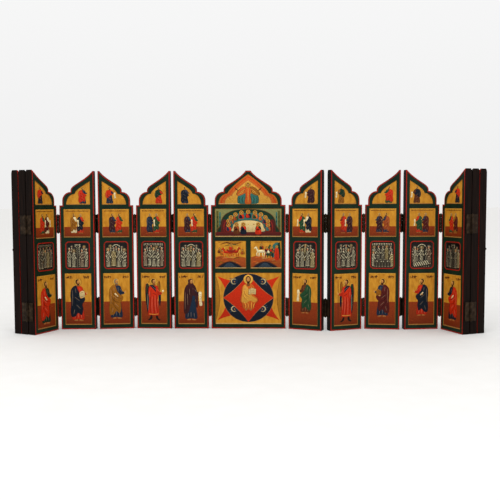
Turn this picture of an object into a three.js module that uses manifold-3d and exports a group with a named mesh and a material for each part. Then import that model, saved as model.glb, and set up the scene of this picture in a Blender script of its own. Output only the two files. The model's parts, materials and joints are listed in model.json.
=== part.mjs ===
import * as THREE from 'three';
import { mergeVertices } from 'three/addons/utils/BufferGeometryUtils.js';
import Module from 'manifold-3d';

// A folding home iconostasis that stands on a shelf: a painted centre panel with
// a chain of seven narrow leaves hinged to each side, as on a folding screen.
// Millimetres, +Z up, painted faces towards -Y, origin under the centre panel.

// Boards
const PEAK_HEIGHT = 317;
const SHOULDER_HEIGHT = 248.7;
const BOARD_THICKNESS = 16;
const CENTRE_WIDTH = 149;
const LEAF_WIDTH = 69;
const CENTRE_SHOULDER = 7.6;
const LEAF_SHOULDER = 5.8;
const CENTRE_PEAK_FLAT = 5;
const LEAF_PEAK_FLAT = 3;
const LEAVES_PER_SIDE = 7;

// The two lobes and the ogee of the arch, as heights above the shelf and as
// shares of the half width between the peak line and the shoulder's inner corner
const LOBE_FOOT = 258;
const NOTCH_HEIGHT = 275.5;
const NOTCH_RISE = 2.5;
const NOTCH_SHARE = 0.735;
const OGEE_TURN_HEIGHT = 293.7;
const OGEE_TURN_SHARE = 0.495;

// Reach of the curve handles that round the upper lobe and the ogee above it
const LOBE_HANDLE = { rise: 6.5, run: 8.7, drop: 5.5 };
const OGEE_HANDLE = { run: 11, rise: 7, peakRun: 5, peakDrop: 8 };

// Painted fields, sunk into the front, with a plain border round each
const FIELD_DEPTH = 1;
const FIELD_SIDE_MARGIN = 8;
const BOTTOM_FIELD = { low: 9, high: 113 };
const UPPER_FIELD = { low: 185, high: 241.5 };
const MIDDLE_FIELD = { low: 121.5, high: 177 };
const ARCH_FIELD_LOW = 250;
const MULLION_WIDTH = 9;
const CENTRE_ARCH_TOP = 310;
const LEAF_ARCH_TOP = 297;
const ARCH_MARGIN = 7.6;
const ARCH_FIELD_HANDLE = { run: 3, rise: 9, topRun: 14, topDrop: 9 };

// Cast plaques, set in pockets of the leaves
const PLAQUE_WIDTH = 44.4;
const PLAQUE_HEIGHT = 51.4;
const PLAQUE_CENTRE = 149;
const PLAQUE_CORNER = 5;
const PLAQUE_PLATE = 1.1;
const PLAQUE_RELIEF = 2.1;
const PLAQUE_RIM = 2;
const POCKET_DEPTH = 2.8;
const CLEARANCE = 0.3;

// A relief figure's proportions, as shares of its height
const FIGURE = {
  head: 0.12,
  hem: 0.17,
  shoulder: 0.19,
  shoulderHeight: 0.66,
  neck: 0.07,
  neckHeight: 0.74,
};
const FIGURE_HEIGHT = 35;
const FIGURE_STEP_DOWN = 2;
const FIGURE_FOOT = 4;
const FIGURE_RELIEF = 1.9;

// Butt hinges, two to a joint, with their plates on the narrow edges of the boards
const EDGE_GAP = 5.8;
const AXIS_OUT = 0.8;
const HINGE_HEIGHT = 36;
const HINGE_CENTRES = { upper: 212, lower: 44 };
const PLATE_THICKNESS = 1.4;
const PLATE_WIDTH = 12;
const BARREL_RADIUS = 2.5;
const BARREL_SIDES = 10;

// Clasp fittings on the backs of the outermost leaves
const CLASP_HEIGHT = 163;
const CLASP_FROM_EDGE = 7;
const CLASP_PLATE = { width: 9, height: 18, thickness: 1.2 };
const KNOB_RADIUS = 2.4;
const KNOB_STEM_RADIUS = 1.5;
const KNOB_TOP_RADIUS = 1.7;
const KNOB_REACH = 5;
const KNOB_STEM_REACH = 2.2;
const KNOB_WIDEST_REACH = 3.5;

// How far each joint is folded from flat as the screen stands, from the centre out.
// The last two leaves of each side lie folded against the fifth.
const REST_FOLDS = {
  left: [1.5, 3, 10, 5.5, 64, 180, 180],
  right: [21.5, 43.5, 28, 14, 74.5, 180, 180],
};

// Facets of the round stretches, and how far a cutting shape starts in front of the board
const LOBE_STEPS = 5;
const OGEE_STEPS = 6;
const CORNER_STEPS = 3;
const CUT_OVERRUN = 1;

const wasm = await Module();
wasm.setup();

function finish(color, roughness, metalness) {
  return new THREE.MeshStandardMaterial({ color, roughness, metalness });
}
const woodPaint = () => finish(0x1d3a26, 0.5, 0);
const castSilver = () => finish(0x8d8a80, 0.4, 0.9);
const darkIron = () => finish(0x1a1615, 0.55, 0.8);
const agedBrass = () => finish(0x4a3a22, 0.5, 0.8);

// A solid for cutting and joining, from a closed geometry
function solid(geometry) {
  const bare = geometry.clone();
  bare.deleteAttribute('normal');
  bare.deleteAttribute('uv');
  const merged = mergeVertices(bare, 1e-4);
  const vertProperties = new Float32Array(merged.attributes.position.array);
  const triVerts = new Uint32Array(merged.index.array);
  return new wasm.Manifold(new wasm.Mesh({ numProp: 3, vertProperties, triVerts }));
}

function geometryOf(manifold) {
  const { vertProperties, triVerts } = manifold.getMesh();
  const geometry = new THREE.BufferGeometry();
  geometry.setAttribute('position', new THREE.BufferAttribute(new Float32Array(vertProperties), 3));
  geometry.setIndex(new THREE.BufferAttribute(new Uint32Array(triVerts), 1));
  geometry.computeVertexNormals();
  return geometry;
}

// An upright slab: an outline in X and Z, from depth front to depth back along Y
function slab(outline, front, back) {
  const geometry = new THREE.ExtrudeGeometry(new THREE.Shape(outline), {
    depth: back - front,
    bevelEnabled: false,
  });
  return geometry.rotateX(Math.PI / 2).translate(0, back, 0);
}

const point = (x, z) => new THREE.Vector2(x, z);
const flipped = (outline) => outline.map((p) => point(-p.x, p.y)).reverse();

function rectangle(left, right, low, high) {
  return [point(left, low), point(right, low), point(right, high), point(left, high)];
}

function roundedRectangle(width, height, centreHeight, radius) {
  const corners = [[1, -1], [1, 1], [-1, 1], [-1, -1]];
  return corners.flatMap(([sideX, sideZ], quarter) => {
    const cx = sideX * (width / 2 - radius);
    const cz = centreHeight + sideZ * (height / 2 - radius);
    return Array.from({ length: CORNER_STEPS + 1 }, (_, step) => {
      const turn = (quarter - 1 + step / CORNER_STEPS) * Math.PI / 2;
      return point(cx + radius * Math.cos(turn), cz + radius * Math.sin(turn));
    });
  });
}

// Half of the arch from the shoulder to the peak, for a peak line at X = 0
function archHalf(halfWidth, shoulder, peakFlat) {
  const reach = halfWidth - shoulder;
  const notch = reach * NOTCH_SHARE;
  const turn = reach * OGEE_TURN_SHARE;
  const lobe = Array.from({ length: LOBE_STEPS + 1 }, (_, step) => {
    const angle = (step / LOBE_STEPS) * Math.PI / 2;
    const x = notch + (reach - notch) * Math.cos(angle);
    return point(x, LOBE_FOOT + (NOTCH_HEIGHT - LOBE_FOOT) * Math.sin(angle));
  });
  const upperLobe = new THREE.CubicBezierCurve(
    point(notch, NOTCH_HEIGHT + NOTCH_RISE),
    point(notch, NOTCH_HEIGHT + NOTCH_RISE + LOBE_HANDLE.rise),
    point(turn + LOBE_HANDLE.run, OGEE_TURN_HEIGHT - LOBE_HANDLE.drop),
    point(turn, OGEE_TURN_HEIGHT),
  );
  const ogee = new THREE.CubicBezierCurve(
    point(turn, OGEE_TURN_HEIGHT),
    point(turn - OGEE_HANDLE.run, OGEE_TURN_HEIGHT + OGEE_HANDLE.rise),
    point(peakFlat + OGEE_HANDLE.peakRun, PEAK_HEIGHT - OGEE_HANDLE.peakDrop),
    point(peakFlat, PEAK_HEIGHT),
  );
  return [
    point(halfWidth, SHOULDER_HEIGHT),
    point(reach, SHOULDER_HEIGHT),
    ...lobe,
    ...upperLobe.getPoints(LOBE_STEPS),
    ...ogee.getPoints(OGEE_STEPS).slice(1),
  ];
}

// The same half for the sunk field under the arch, a margin inside it
function archFieldHalf(halfWidth, shoulder, top, topX) {
  const reach = halfWidth - shoulder - ARCH_MARGIN;
  const notch = (halfWidth - shoulder) * NOTCH_SHARE - ARCH_MARGIN;
  const lobeTop = NOTCH_HEIGHT - ARCH_MARGIN / 2;
  const lobe = Array.from({ length: LOBE_STEPS }, (_, step) => {
    const angle = (step / LOBE_STEPS) * Math.PI / 2;
    const x = notch + (reach - notch) * Math.cos(angle);
    return point(x, ARCH_FIELD_LOW + (lobeTop - ARCH_FIELD_LOW) * Math.sin(angle));
  });
  const sweep = new THREE.CubicBezierCurve(
    point(notch, lobeTop),
    point(notch - ARCH_FIELD_HANDLE.run, lobeTop + ARCH_FIELD_HANDLE.rise),
    point(topX + ARCH_FIELD_HANDLE.topRun, top - ARCH_FIELD_HANDLE.topDrop),
    point(topX, top),
  );
  return [...lobe, ...sweep.getPoints(OGEE_STEPS)];
}

function sink(board, outline, depth) {
  return board.subtract(solid(slab(outline, -CUT_OVERRUN, depth)));
}

function centrePanel() {
  const half = CENTRE_WIDTH / 2;
  const arch = archHalf(half, CENTRE_SHOULDER, CENTRE_PEAK_FLAT);
  const outline = [point(-half, 0), point(half, 0), ...arch, ...flipped(arch)];
  const archField = archFieldHalf(half, CENTRE_SHOULDER, CENTRE_ARCH_TOP, 0);
  const inner = half - FIELD_SIDE_MARGIN;
  const mullion = MULLION_WIDTH / 2;
  const fields = [
    rectangle(-inner, inner, BOTTOM_FIELD.low, BOTTOM_FIELD.high),
    rectangle(-inner, -mullion, MIDDLE_FIELD.low, MIDDLE_FIELD.high),
    rectangle(mullion, inner, MIDDLE_FIELD.low, MIDDLE_FIELD.high),
    rectangle(-inner, inner, UPPER_FIELD.low, UPPER_FIELD.high),
    [...archField, ...flipped(archField).slice(1)],
  ];
  const board = solid(slab(outline, 0, BOARD_THICKNESS));
  return geometryOf(fields.reduce((cut, field) => sink(cut, field, FIELD_DEPTH), board));
}

// A leaf is one half of the arch. Its peak edge stands at X = 0 and the rest of it
// reaches to the side given, +1 or -1.
function leaf(towards) {
  const place = (outline) => (towards > 0 ? outline : flipped(outline));
  const arch = archHalf(LEAF_WIDTH, LEAF_SHOULDER, LEAF_PEAK_FLAT);
  const archField = archFieldHalf(LEAF_WIDTH, LEAF_SHOULDER, LEAF_ARCH_TOP, FIELD_SIDE_MARGIN);
  const far = LEAF_WIDTH - FIELD_SIDE_MARGIN;
  const pocket = roundedRectangle(
    PLAQUE_WIDTH + 2 * CLEARANCE,
    PLAQUE_HEIGHT + 2 * CLEARANCE,
    PLAQUE_CENTRE,
    PLAQUE_CORNER + CLEARANCE,
  ).map((p) => point(p.x + LEAF_WIDTH / 2, p.y));
  const fields = [
    rectangle(FIELD_SIDE_MARGIN, far, BOTTOM_FIELD.low, BOTTOM_FIELD.high),
    rectangle(FIELD_SIDE_MARGIN, far, UPPER_FIELD.low, UPPER_FIELD.high),
    [point(FIELD_SIDE_MARGIN, ARCH_FIELD_LOW), ...archField],
  ];
  const outline = [point(0, 0), point(LEAF_WIDTH, 0), ...arch, point(0, PEAK_HEIGHT)];
  const board = sink(solid(slab(place(outline), 0, BOARD_THICKNESS)), place(pocket), POCKET_DEPTH);
  return geometryOf(fields.reduce((cut, field) => sink(cut, place(field), FIELD_DEPTH), board));
}

// One standing figure of the relief: a robe that narrows to the shoulders, and a head
function figureOutline(x, foot, height) {
  const headRadius = height * FIGURE.head;
  const headHeight = foot + height - headRadius;
  const side = [
    point(height * FIGURE.hem, foot),
    point(height * FIGURE.shoulder, foot + height * FIGURE.shoulderHeight),
    point(height * FIGURE.neck, foot + height * FIGURE.neckHeight),
    ...[-1, 0, 1].map((turn) => {
      const angle = turn * Math.PI / 3;
      return point(headRadius * Math.cos(angle), headHeight + headRadius * Math.sin(angle));
    }),
  ];
  return [...side, ...flipped(side)].map((p) => point(p.x + x, p.y));
}

// A cast relief: a plate with a raised rim and a group of two or three figures, by
// the leaf's number, so that neighbouring plaques differ
function plaque(number) {
  const floor = POCKET_DEPTH - CLEARANCE;
  const low = PLAQUE_CENTRE - PLAQUE_HEIGHT / 2;
  const outer = roundedRectangle(PLAQUE_WIDTH, PLAQUE_HEIGHT, PLAQUE_CENTRE, PLAQUE_CORNER);
  const inner = roundedRectangle(
    PLAQUE_WIDTH - 2 * PLAQUE_RIM,
    PLAQUE_HEIGHT - 2 * PLAQUE_RIM,
    PLAQUE_CENTRE,
    PLAQUE_CORNER - PLAQUE_RIM,
  );
  const rim = solid(slab(outer, floor - PLAQUE_RELIEF, floor));
  let cast = rim.subtract(solid(slab(inner, -CUT_OVERRUN, floor - PLAQUE_PLATE)));
  const figures = 2 + (number % 2);
  const pitch = PLAQUE_WIDTH / (figures + 1);
  for (let index = 0; index < figures; index += 1) {
    const fromMiddle = index - (figures - 1) / 2;
    const height = FIGURE_HEIGHT - FIGURE_STEP_DOWN * Math.abs(fromMiddle);
    const robe = figureOutline(fromMiddle * pitch, low + FIGURE_FOOT, height);
    cast = cast.add(solid(slab(robe, floor - FIGURE_RELIEF, floor - PLAQUE_PLATE / 2)));
  }
  return geometryOf(cast);
}

// The fixed half of a butt hinge with its barrel. The barrel stands on the Z axis, and
// the plate lies on the board edge towards the side given, running back (+1) or front (-1).
function hinge(towards, run) {
  const barrel = new THREE.CylinderGeometry(BARREL_RADIUS, BARREL_RADIUS, HINGE_HEIGHT, BARREL_SIDES);
  barrel.rotateX(Math.PI / 2);
  const plate = new THREE.BoxGeometry(PLATE_THICKNESS, PLATE_WIDTH, HINGE_HEIGHT);
  const plateX = EDGE_GAP / 2 - CLEARANCE - PLATE_THICKNESS / 2;
  plate.translate(towards * plateX, run * (AXIS_OUT + PLATE_WIDTH / 2), 0);
  return geometryOf(solid(barrel).add(solid(plate)));
}

// A small plate with a round-headed knob, standing out along +Y
function clasp() {
  const { width, height, thickness } = CLASP_PLATE;
  const plate = new THREE.BoxGeometry(width, thickness, height).translate(0, thickness / 2, 0);
  const profile = [
    point(0, -thickness / 2),
    point(KNOB_STEM_RADIUS, -thickness / 2),
    point(KNOB_STEM_RADIUS, KNOB_STEM_REACH),
    point(KNOB_RADIUS, KNOB_WIDEST_REACH),
    point(KNOB_TOP_RADIUS, KNOB_REACH),
    point(0, KNOB_REACH),
  ];
  const knob = new THREE.LatheGeometry(profile, BARREL_SIDES).translate(0, thickness, 0);
  return geometryOf(solid(plate).add(solid(knob)));
}

function piece(name, geometry, material, parent) {
  const mesh = new THREE.Mesh(geometry, material);
  mesh.name = name;
  parent.add(mesh);
  return mesh;
}

const group = new THREE.Group();
const centreFront = -BOARD_THICKNESS / 2;
piece('centre_panel', centrePanel(), woodPaint(), group).position.y = centreFront;

// Each chain starts at an edge of the centre panel. Joints fold towards the front and
// the back in turn, with the barrels on the front faces and on the back faces in turn.
for (const [sideName, side] of [['left', -1], ['right', 1]]) {
  let parent = group;
  let parentEdge = side * CENTRE_WIDTH / 2;
  let parentFront = centreFront;
  for (let number = 1; number <= LEAVES_PER_SIDE; number += 1) {
    const foldsForward = number % 2 === 1;
    const run = foldsForward ? 1 : -1;
    const axisY = foldsForward ? parentFront - AXIS_OUT : parentFront + BOARD_THICKNESS + AXIS_OUT;
    const axisX = parentEdge + side * EDGE_GAP / 2;
    for (const [level, height] of Object.entries(HINGE_CENTRES)) {
      const name = `${sideName}_hinge_${number}_${level}`;
      piece(name, hinge(-side, run), darkIron(), parent).position.set(axisX, axisY, height);
    }

    const pivot = new THREE.Group();
    pivot.position.set(axisX, axisY, 0);
    pivot.rotation.z = -side * run * THREE.MathUtils.degToRad(REST_FOLDS[sideName][number - 1]);
    parent.add(pivot);

    const innerEdge = side * EDGE_GAP / 2;
    const outerEdge = innerEdge + side * LEAF_WIDTH;
    const front = foldsForward ? AXIS_OUT : -AXIS_OUT - BOARD_THICKNESS;
    const peakEdge = foldsForward ? outerEdge : innerEdge;
    const board = leaf(foldsForward ? -side : side);
    piece(`${sideName}_leaf_${number}`, board, woodPaint(), pivot).position.set(peakEdge, front, 0);
    const middle = (innerEdge + outerEdge) / 2;
    const relief = plaque(number);
    piece(`${sideName}_plaque_${number}`, relief, castSilver(), pivot).position.set(middle, front, 0);

    if (number === LEAVES_PER_SIDE) {
      const back = front + BOARD_THICKNESS + CLEARANCE;
      const claspX = outerEdge - side * CLASP_FROM_EDGE;
      piece(`${sideName}_clasp`, clasp(), agedBrass(), pivot).position.set(claspX, back, CLASP_HEIGHT);
    }
    parent = pivot;
    parentEdge = outerEdge;
    parentFront = front;
  }
}

export default group;
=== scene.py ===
import json
import math
import random

import bmesh
import bpy
import numpy as np
from mathutils import Matrix, Vector


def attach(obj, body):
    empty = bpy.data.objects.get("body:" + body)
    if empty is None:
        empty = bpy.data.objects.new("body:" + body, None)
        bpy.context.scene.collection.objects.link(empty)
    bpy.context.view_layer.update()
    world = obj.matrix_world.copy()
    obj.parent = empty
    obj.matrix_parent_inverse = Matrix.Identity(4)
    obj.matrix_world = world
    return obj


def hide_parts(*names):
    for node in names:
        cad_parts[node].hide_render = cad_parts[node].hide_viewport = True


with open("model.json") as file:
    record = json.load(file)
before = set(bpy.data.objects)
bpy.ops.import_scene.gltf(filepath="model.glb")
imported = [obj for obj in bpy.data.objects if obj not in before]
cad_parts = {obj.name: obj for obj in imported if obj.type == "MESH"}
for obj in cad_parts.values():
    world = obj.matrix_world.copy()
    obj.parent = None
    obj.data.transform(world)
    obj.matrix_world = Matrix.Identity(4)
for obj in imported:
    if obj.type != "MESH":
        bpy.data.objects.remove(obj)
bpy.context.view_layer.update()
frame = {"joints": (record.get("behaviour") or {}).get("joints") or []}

# Studio: a camera at the height and distance that the screen was seen from, a wide floor of pale
# paper, a bright even room and two large soft lamps. None of this belongs to the screen.
MM = 0.001
CAMERA_AT = Vector((50.5, -1472.3, 255)) * MM
CAMERA_TURN = math.radians(1.84)
CAMERA_DOWN = math.radians(3.76)
CAMERA_ROLL = math.radians(-0.16)
SENSOR = 36
FOCAL_IN_FRAMES = 733.7 / 500
FLOOR_RADIUS = 30000
PAPER, PAPER_SHADE, PAPER_CLOUD = "#f4f3f1", "#eeedea", 40
ROOM_WHITE, ROOM_LOW, ROOM_HIGH, ROOM_HIGH_FROM = "#ffffff", 0.865, 0.95, 0.35
# Each lamp: where it stands, how wide it is, and its watts.
LAMPS = {"key_lamp": ((-900, -1900, 1500), 1300, 15), "fill_lamp": ((1300, -1700, 900), 1500, 7)}
LAMP_AIM = (0, 0, 150)


def linear(hex_colour):
    """An sRGB hex colour as linear RGBA."""
    channels = [int(hex_colour[i:i + 2], 16) / 255 for i in (1, 3, 5)]
    return tuple(c / 12.92 if c <= 0.04045 else ((c + 0.055) / 1.055) ** 2.4 for c in channels) + (1.0,)


def fill(tree, made, inputs):
    """Gives inputs of a node their values, or links those that are given another node's output."""
    for name, value in inputs.items():
        if isinstance(value, bpy.types.NodeSocket):
            tree.links.new(value, made.inputs[name])
        else:
            made.inputs[name].default_value = value


def node(tree, kind, inputs=None, **settings):
    """Adds a shader node with its settings and inputs."""
    made = tree.nodes.new("ShaderNode" + kind)
    for name, value in settings.items():
        setattr(made, name, value)
    fill(tree, made, inputs or {})
    return made


def noise(tree, where, size, detail):
    """Cloudy noise in patches about as wide as a size in millimetres."""
    return node(tree, "TexNoise", {"Vector": where, "Scale": 1 / (size * MM), "Detail": detail}).outputs[0]


def ranged(tree, value, start, stop, low=0.0, high=1.0):
    """A value between start and stop, carried over to run from low to high."""
    return node(tree, "MapRange", {0: value, 1: start, 2: stop, 3: low, 4: high}).outputs[0]


def mixed(tree, share, one, other, blend="MIX"):
    """One colour with a share of another laid into it."""
    one, other = (linear(c) if isinstance(c, str) else c for c in (one, other))
    made = node(tree, "Mix", {0: share, 6: one, 7: other}, data_type="RGBA", blend_type=blend)
    return made.outputs[2]


def bumped(tree, height, strength, depth):
    """A surface direction that follows a height, with its depth in millimetres."""
    return node(tree, "Bump", {"Height": height, "Strength": strength, "Distance": depth * MM}).outputs[0]


def new_material(name):
    """A node material, its nodes, its shader joined to the output, and the place on the object."""
    material = bpy.data.materials.new(name)
    material.use_nodes = True
    tree = material.node_tree
    tree.nodes.clear()
    shader = node(tree, "BsdfPrincipled")
    node(tree, "OutputMaterial", {"Surface": shader.outputs[0]})
    return material, tree, shader, node(tree, "TexCoord").outputs["Object"]


def add_object(name, bm, materials):
    """Makes an object of a bmesh whose coordinates are metres in the frame."""
    mesh = bpy.data.meshes.new(name)
    bm.to_mesh(mesh)
    bm.free()
    for material in materials:
        mesh.materials.append(material)
    thing = bpy.data.objects.new(name, mesh)
    bpy.context.scene.collection.objects.link(thing)
    return thing


# Matt paper: nearly white, with clouds too faint to see that keep it from looking like plastic.
paper, tree, shader, where = new_material("matt_paper_floor")
clouds = noise(tree, where, PAPER_CLOUD, 2.0)
fill(tree, shader, {"Base Color": mixed(tree, clouds, PAPER, PAPER_SHADE), "Roughness": 0.9})

bm = bmesh.new()
bmesh.ops.create_circle(bm, cap_ends=True, radius=FLOOR_RADIUS * MM, segments=96)
floor = add_object("paper_floor", bm, [paper])

for name, (place, size, watts) in LAMPS.items():
    light = bpy.data.lights.new(name, "AREA")
    light.size = size * MM
    light.energy = watts
    lamp = bpy.data.objects.new(name, light)
    lamp.location = Vector(place) * MM
    lamp.rotation_euler = (Vector(LAMP_AIM) - Vector(place)).to_track_quat("-Z", "Y").to_euler()
    bpy.context.scene.collection.objects.link(lamp)

# A white room, a little dimmer low down so that it meets the far floor without a line.
world = bpy.data.worlds.new("soft_room")
world.use_nodes = True
tree = world.node_tree
height = node(tree, "SeparateXYZ", {0: node(tree, "TexCoord").outputs["Generated"]}).outputs["Z"]
glow = ranged(tree, height, 0.0, ROOM_HIGH_FROM, ROOM_LOW, ROOM_HIGH)
fill(tree, tree.nodes["Background"], {"Strength": glow, "Color": linear(ROOM_WHITE)})
bpy.context.scene.world = world
bpy.context.scene.view_settings.view_transform = "Standard"

camera = bpy.data.objects.new("camera", bpy.data.cameras.new("camera"))
camera.data.sensor_width = SENSOR
camera.data.lens = SENSOR * FOCAL_IN_FRAMES
turn = Matrix.Rotation(CAMERA_TURN, 4, "Z") @ Matrix.Rotation(math.pi / 2 - CAMERA_DOWN, 4, "X")
camera.matrix_world = Matrix.Translation(CAMERA_AT) @ turn @ Matrix.Rotation(CAMERA_ROLL, 4, "Z")
bpy.context.scene.collection.objects.link(camera)
bpy.context.scene.camera = camera

# Boards: a wide centre panel and seven narrow leaves on each side, sawn from one thickness of
# close-grained wood and stained nearly black behind. The front has a red line along its edge, a
# green border, and sunk fields for the pictures. Each leaf carries one half of the centre's arch.
PEAK, SHOULDER, THICKNESS = 317, 248.7, 16
CENTRE_WIDTH, LEAF_WIDTH = 149, 69
CENTRE_LEDGE, LEAF_LEDGE = 7.6, 5.8
CENTRE_TIP, LEAF_TIP = 5, 3
LOBE_FOOT, NOTCH, NOTCH_RISE, NOTCH_SHARE = 258, 275.5, 2.5, 0.735
TURN_HEIGHT, TURN_SHARE = 293.7, 0.495
FIELD_DEPTH, FIELD_DRAFT, SIDE_MARGIN = 1.0, 0.7, 8
FULL_FIELD, UPPER_FIELD, MIDDLE_FIELD = (9, 113), (185, 241.5), (121.5, 177)
ARCH_FIELD_LOW, ARCH_MARGIN, MULLION = 250, 7.6, 9
CENTRE_ARCH_TOP, LEAF_ARCH_TOP = 310, 297
POCKET_WIDTH, POCKET_HEIGHT, POCKET_CENTRE, POCKET_CORNER, POCKET_DEPTH = 45, 52, 149, 5.3, 2.8
MOULDING_WIDTH = 1.8
MOULDING_STEPS = [(0.9, 0.2), (0.7, 0.38), (0.5, 0.42), (0.3, 0.38), (0.1, 0.2), (0, 0)]
EDGE_ROUND, RED_LINE = 0.45, 2.2
TIP_WORN, TIP_THINNED = 7, 2.4
HINGE_GAP, AXIS_OUT = 5.8, 0.8
LEAVES = 7
CURVE_STEPS = 8


def bezier(a, b, c, d, steps):
    """Points on a cubic curve, from its start up to but not at its end."""
    a, b, c, d = (np.array(p, float) for p in (a, b, c, d))
    spots = [i / steps for i in range(steps)]
    return [tuple((1 - t) ** 3 * a + 3 * t * (1 - t) ** 2 * b + 3 * t * t * (1 - t) * c + t ** 3 * d)
            for t in spots]


def quarter(centre, reach, rise, steps):
    """Points on a quarter of an ellipse, from its side up to but not at its top."""
    turns = [i / steps * math.pi / 2 for i in range(steps)]
    return [(centre[0] + reach * math.cos(a), centre[1] + rise * math.sin(a)) for a in turns]


def arch_half(half_width, ledge, tip):
    """The right half of the arch, from the shoulder to the tip, with the peak line at x = 0."""
    reach = half_width - ledge
    notch, turn = reach * NOTCH_SHARE, reach * TURN_SHARE
    lobe = quarter((notch, LOBE_FOOT), reach - notch, NOTCH - LOBE_FOOT, CURVE_STEPS)
    upper = bezier((notch, NOTCH + NOTCH_RISE), (notch, NOTCH + NOTCH_RISE + 6.5),
                   (turn + 8.7, TURN_HEIGHT - 5.5), (turn, TURN_HEIGHT), CURVE_STEPS)
    ogee = bezier((turn, TURN_HEIGHT), (turn - 11, TURN_HEIGHT + 7), (tip + 5, PEAK - 8), (tip, PEAK),
                  CURVE_STEPS)
    ledge_line = [(half_width, SHOULDER), (reach, SHOULDER)]
    return ledge_line + lobe + [(notch, NOTCH)] + upper + ogee + [(tip, PEAK)]


def arch_field_half(half_width, ledge, top, top_x):
    """The right half of the field under the arch, from its foot to its top."""
    reach = half_width - ledge - ARCH_MARGIN
    notch = (half_width - ledge) * NOTCH_SHARE - ARCH_MARGIN
    lobe_top = NOTCH - ARCH_MARGIN / 2
    lobe = quarter((notch, ARCH_FIELD_LOW), reach - notch, lobe_top - ARCH_FIELD_LOW, CURVE_STEPS)
    sweep = bezier((notch, lobe_top), (notch - 3, lobe_top + 9), (top_x + 14, top - 9), (top_x, top),
                   CURVE_STEPS)
    return lobe + sweep + [(top_x, top)]


def mirrored(outline):
    return [(-x, z) for x, z in reversed(outline)]


def rectangle(left, right, low, high):
    return [(left, low), (right, low), (right, high), (left, high)]


def rounded(width, height, centre, corner, steps=6):
    """A rectangle with round corners, centred on x = 0 at a height."""
    made = []
    for quadrant, (sx, sz) in enumerate(((1, -1), (1, 1), (-1, 1), (-1, -1))):
        for i in range(steps + 1):
            a = (quadrant - 1 + i / steps) * math.pi / 2
            made.append((sx * (width / 2 - corner) + corner * math.cos(a),
                         centre + sz * (height / 2 - corner) + corner * math.sin(a)))
    return made


def inset(outline, distance):
    """A closed outline, run anticlockwise, moved inwards by a distance at every side."""
    made = []
    for i, here in enumerate(outline):
        p, q = np.array(outline[i - 1]), np.array(outline[(i + 1) % len(outline)])
        here = np.array(here)
        a, b = here - p, q - here
        a, b = a / np.linalg.norm(a), b / np.linalg.norm(b)
        normal = np.array((-a[1] - b[1], a[0] + b[0]))
        normal /= max(np.linalg.norm(normal), 1e-6)
        bend = max(normal @ np.array((-a[1], a[0])), 0.5)
        made.append(tuple(here + normal * distance / bend))
    return made


def ring(bm, outline, depth):
    """A closed loop of vertices and edges along an outline, at a depth behind the board's front."""
    verts = [bm.verts.new((x, depth, z)) for x, z in outline]
    for pair in zip(verts, verts[1:] + verts[:1]):
        bm.edges.new(pair)
    return verts


def rim(bm, loop):
    return [bm.edges.get(pair) for pair in zip(loop, loop[1:] + loop[:1])]


def step(bm, loop, outline, depth, finish):
    """Extrudes a loop to another outline and depth, and gives the new loop."""
    fresh = bmesh.ops.extrude_edge_only(bm, edges=rim(bm, loop))["geom"]
    for face in (g for g in fresh if isinstance(g, bmesh.types.BMFace)):
        face.material_index = finish
    made = {v for v in fresh if isinstance(v, bmesh.types.BMVert)}
    new_loop = [next(e.other_vert(v) for e in v.link_edges if e.other_vert(v) in made) for v in loop]
    for v, (x, z) in zip(new_loop, outline):
        v.co = (x, depth, z)
    return new_loop


def cap(bm, loop, finish):
    for face in bmesh.ops.contextual_create(bm, geom=rim(bm, loop))["faces"]:
        face.material_index = finish


# Board finishes by index. PALE is the finish of the sunk fields' walls, a darker gold-brown painted on as
# shade.
WOOD, RED, GREEN, GOLD, PALE = range(5)


def board(outline, fields, moulded):
    """A board in millimetres, x from its middle, with its front at depth 0."""
    bm = bmesh.new()
    edge = inset(outline, EDGE_ROUND)
    back = ring(bm, edge, THICKNESS)
    cap(bm, back, WOOD)
    loop = step(bm, back, outline, THICKNESS - EDGE_ROUND, WOOD)
    loop = step(bm, loop, outline, EDGE_ROUND, WOOD)
    loop = step(bm, loop, edge, 0, WOOD)
    loop = step(bm, loop, inset(outline, RED_LINE), 0, RED)
    front = rim(bm, loop)
    for field in fields:
        mouth = ring(bm, field, 0)
        front += rim(bm, mouth)
        cap(bm, step(bm, mouth, inset(field, FIELD_DRAFT), FIELD_DEPTH, PALE), GOLD)
    for centre in moulded:
        mouth = loop = ring(bm, moulding_outline(1, centre), 0)
        front += rim(bm, mouth)
        for share, rise in MOULDING_STEPS:
            loop = step(bm, loop, moulding_outline(share, centre), -rise, RED)
        cap(bm, step(bm, loop, moulding_outline(0, centre), POCKET_DEPTH, GREEN), GREEN)
    filled = bmesh.ops.triangle_fill(bm, edges=front, use_beauty=True, normal=(0, -1, 0))
    for face in (g for g in filled["geom"] if isinstance(g, bmesh.types.BMFace)):
        face.material_index = GREEN
    bmesh.ops.recalc_face_normals(bm, faces=bm.faces)
    return bm


def moulding_outline(share, centre):
    """The outline round a pocket, at a share of the moulding's width out from its edge."""
    out = share * MOULDING_WIDTH
    return rounded(POCKET_WIDTH + 2 * out, POCKET_HEIGHT + 2 * out, centre, POCKET_CORNER + out)


def ride(thing, body, slot, *nodes):
    """Puts a finished piece on its body and hides the solids it stands for. The slot is not used."""
    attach(thing, body)
    if nodes:
        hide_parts(*nodes)
    return thing


def smooth(thing, degrees):
    """Shades a mesh smooth, apart from edges that turn by more than this."""
    for polygon in thing.data.polygons:
        polygon.use_smooth = True
    thing.data.set_sharp_from_angle(angle=math.radians(degrees))


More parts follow.
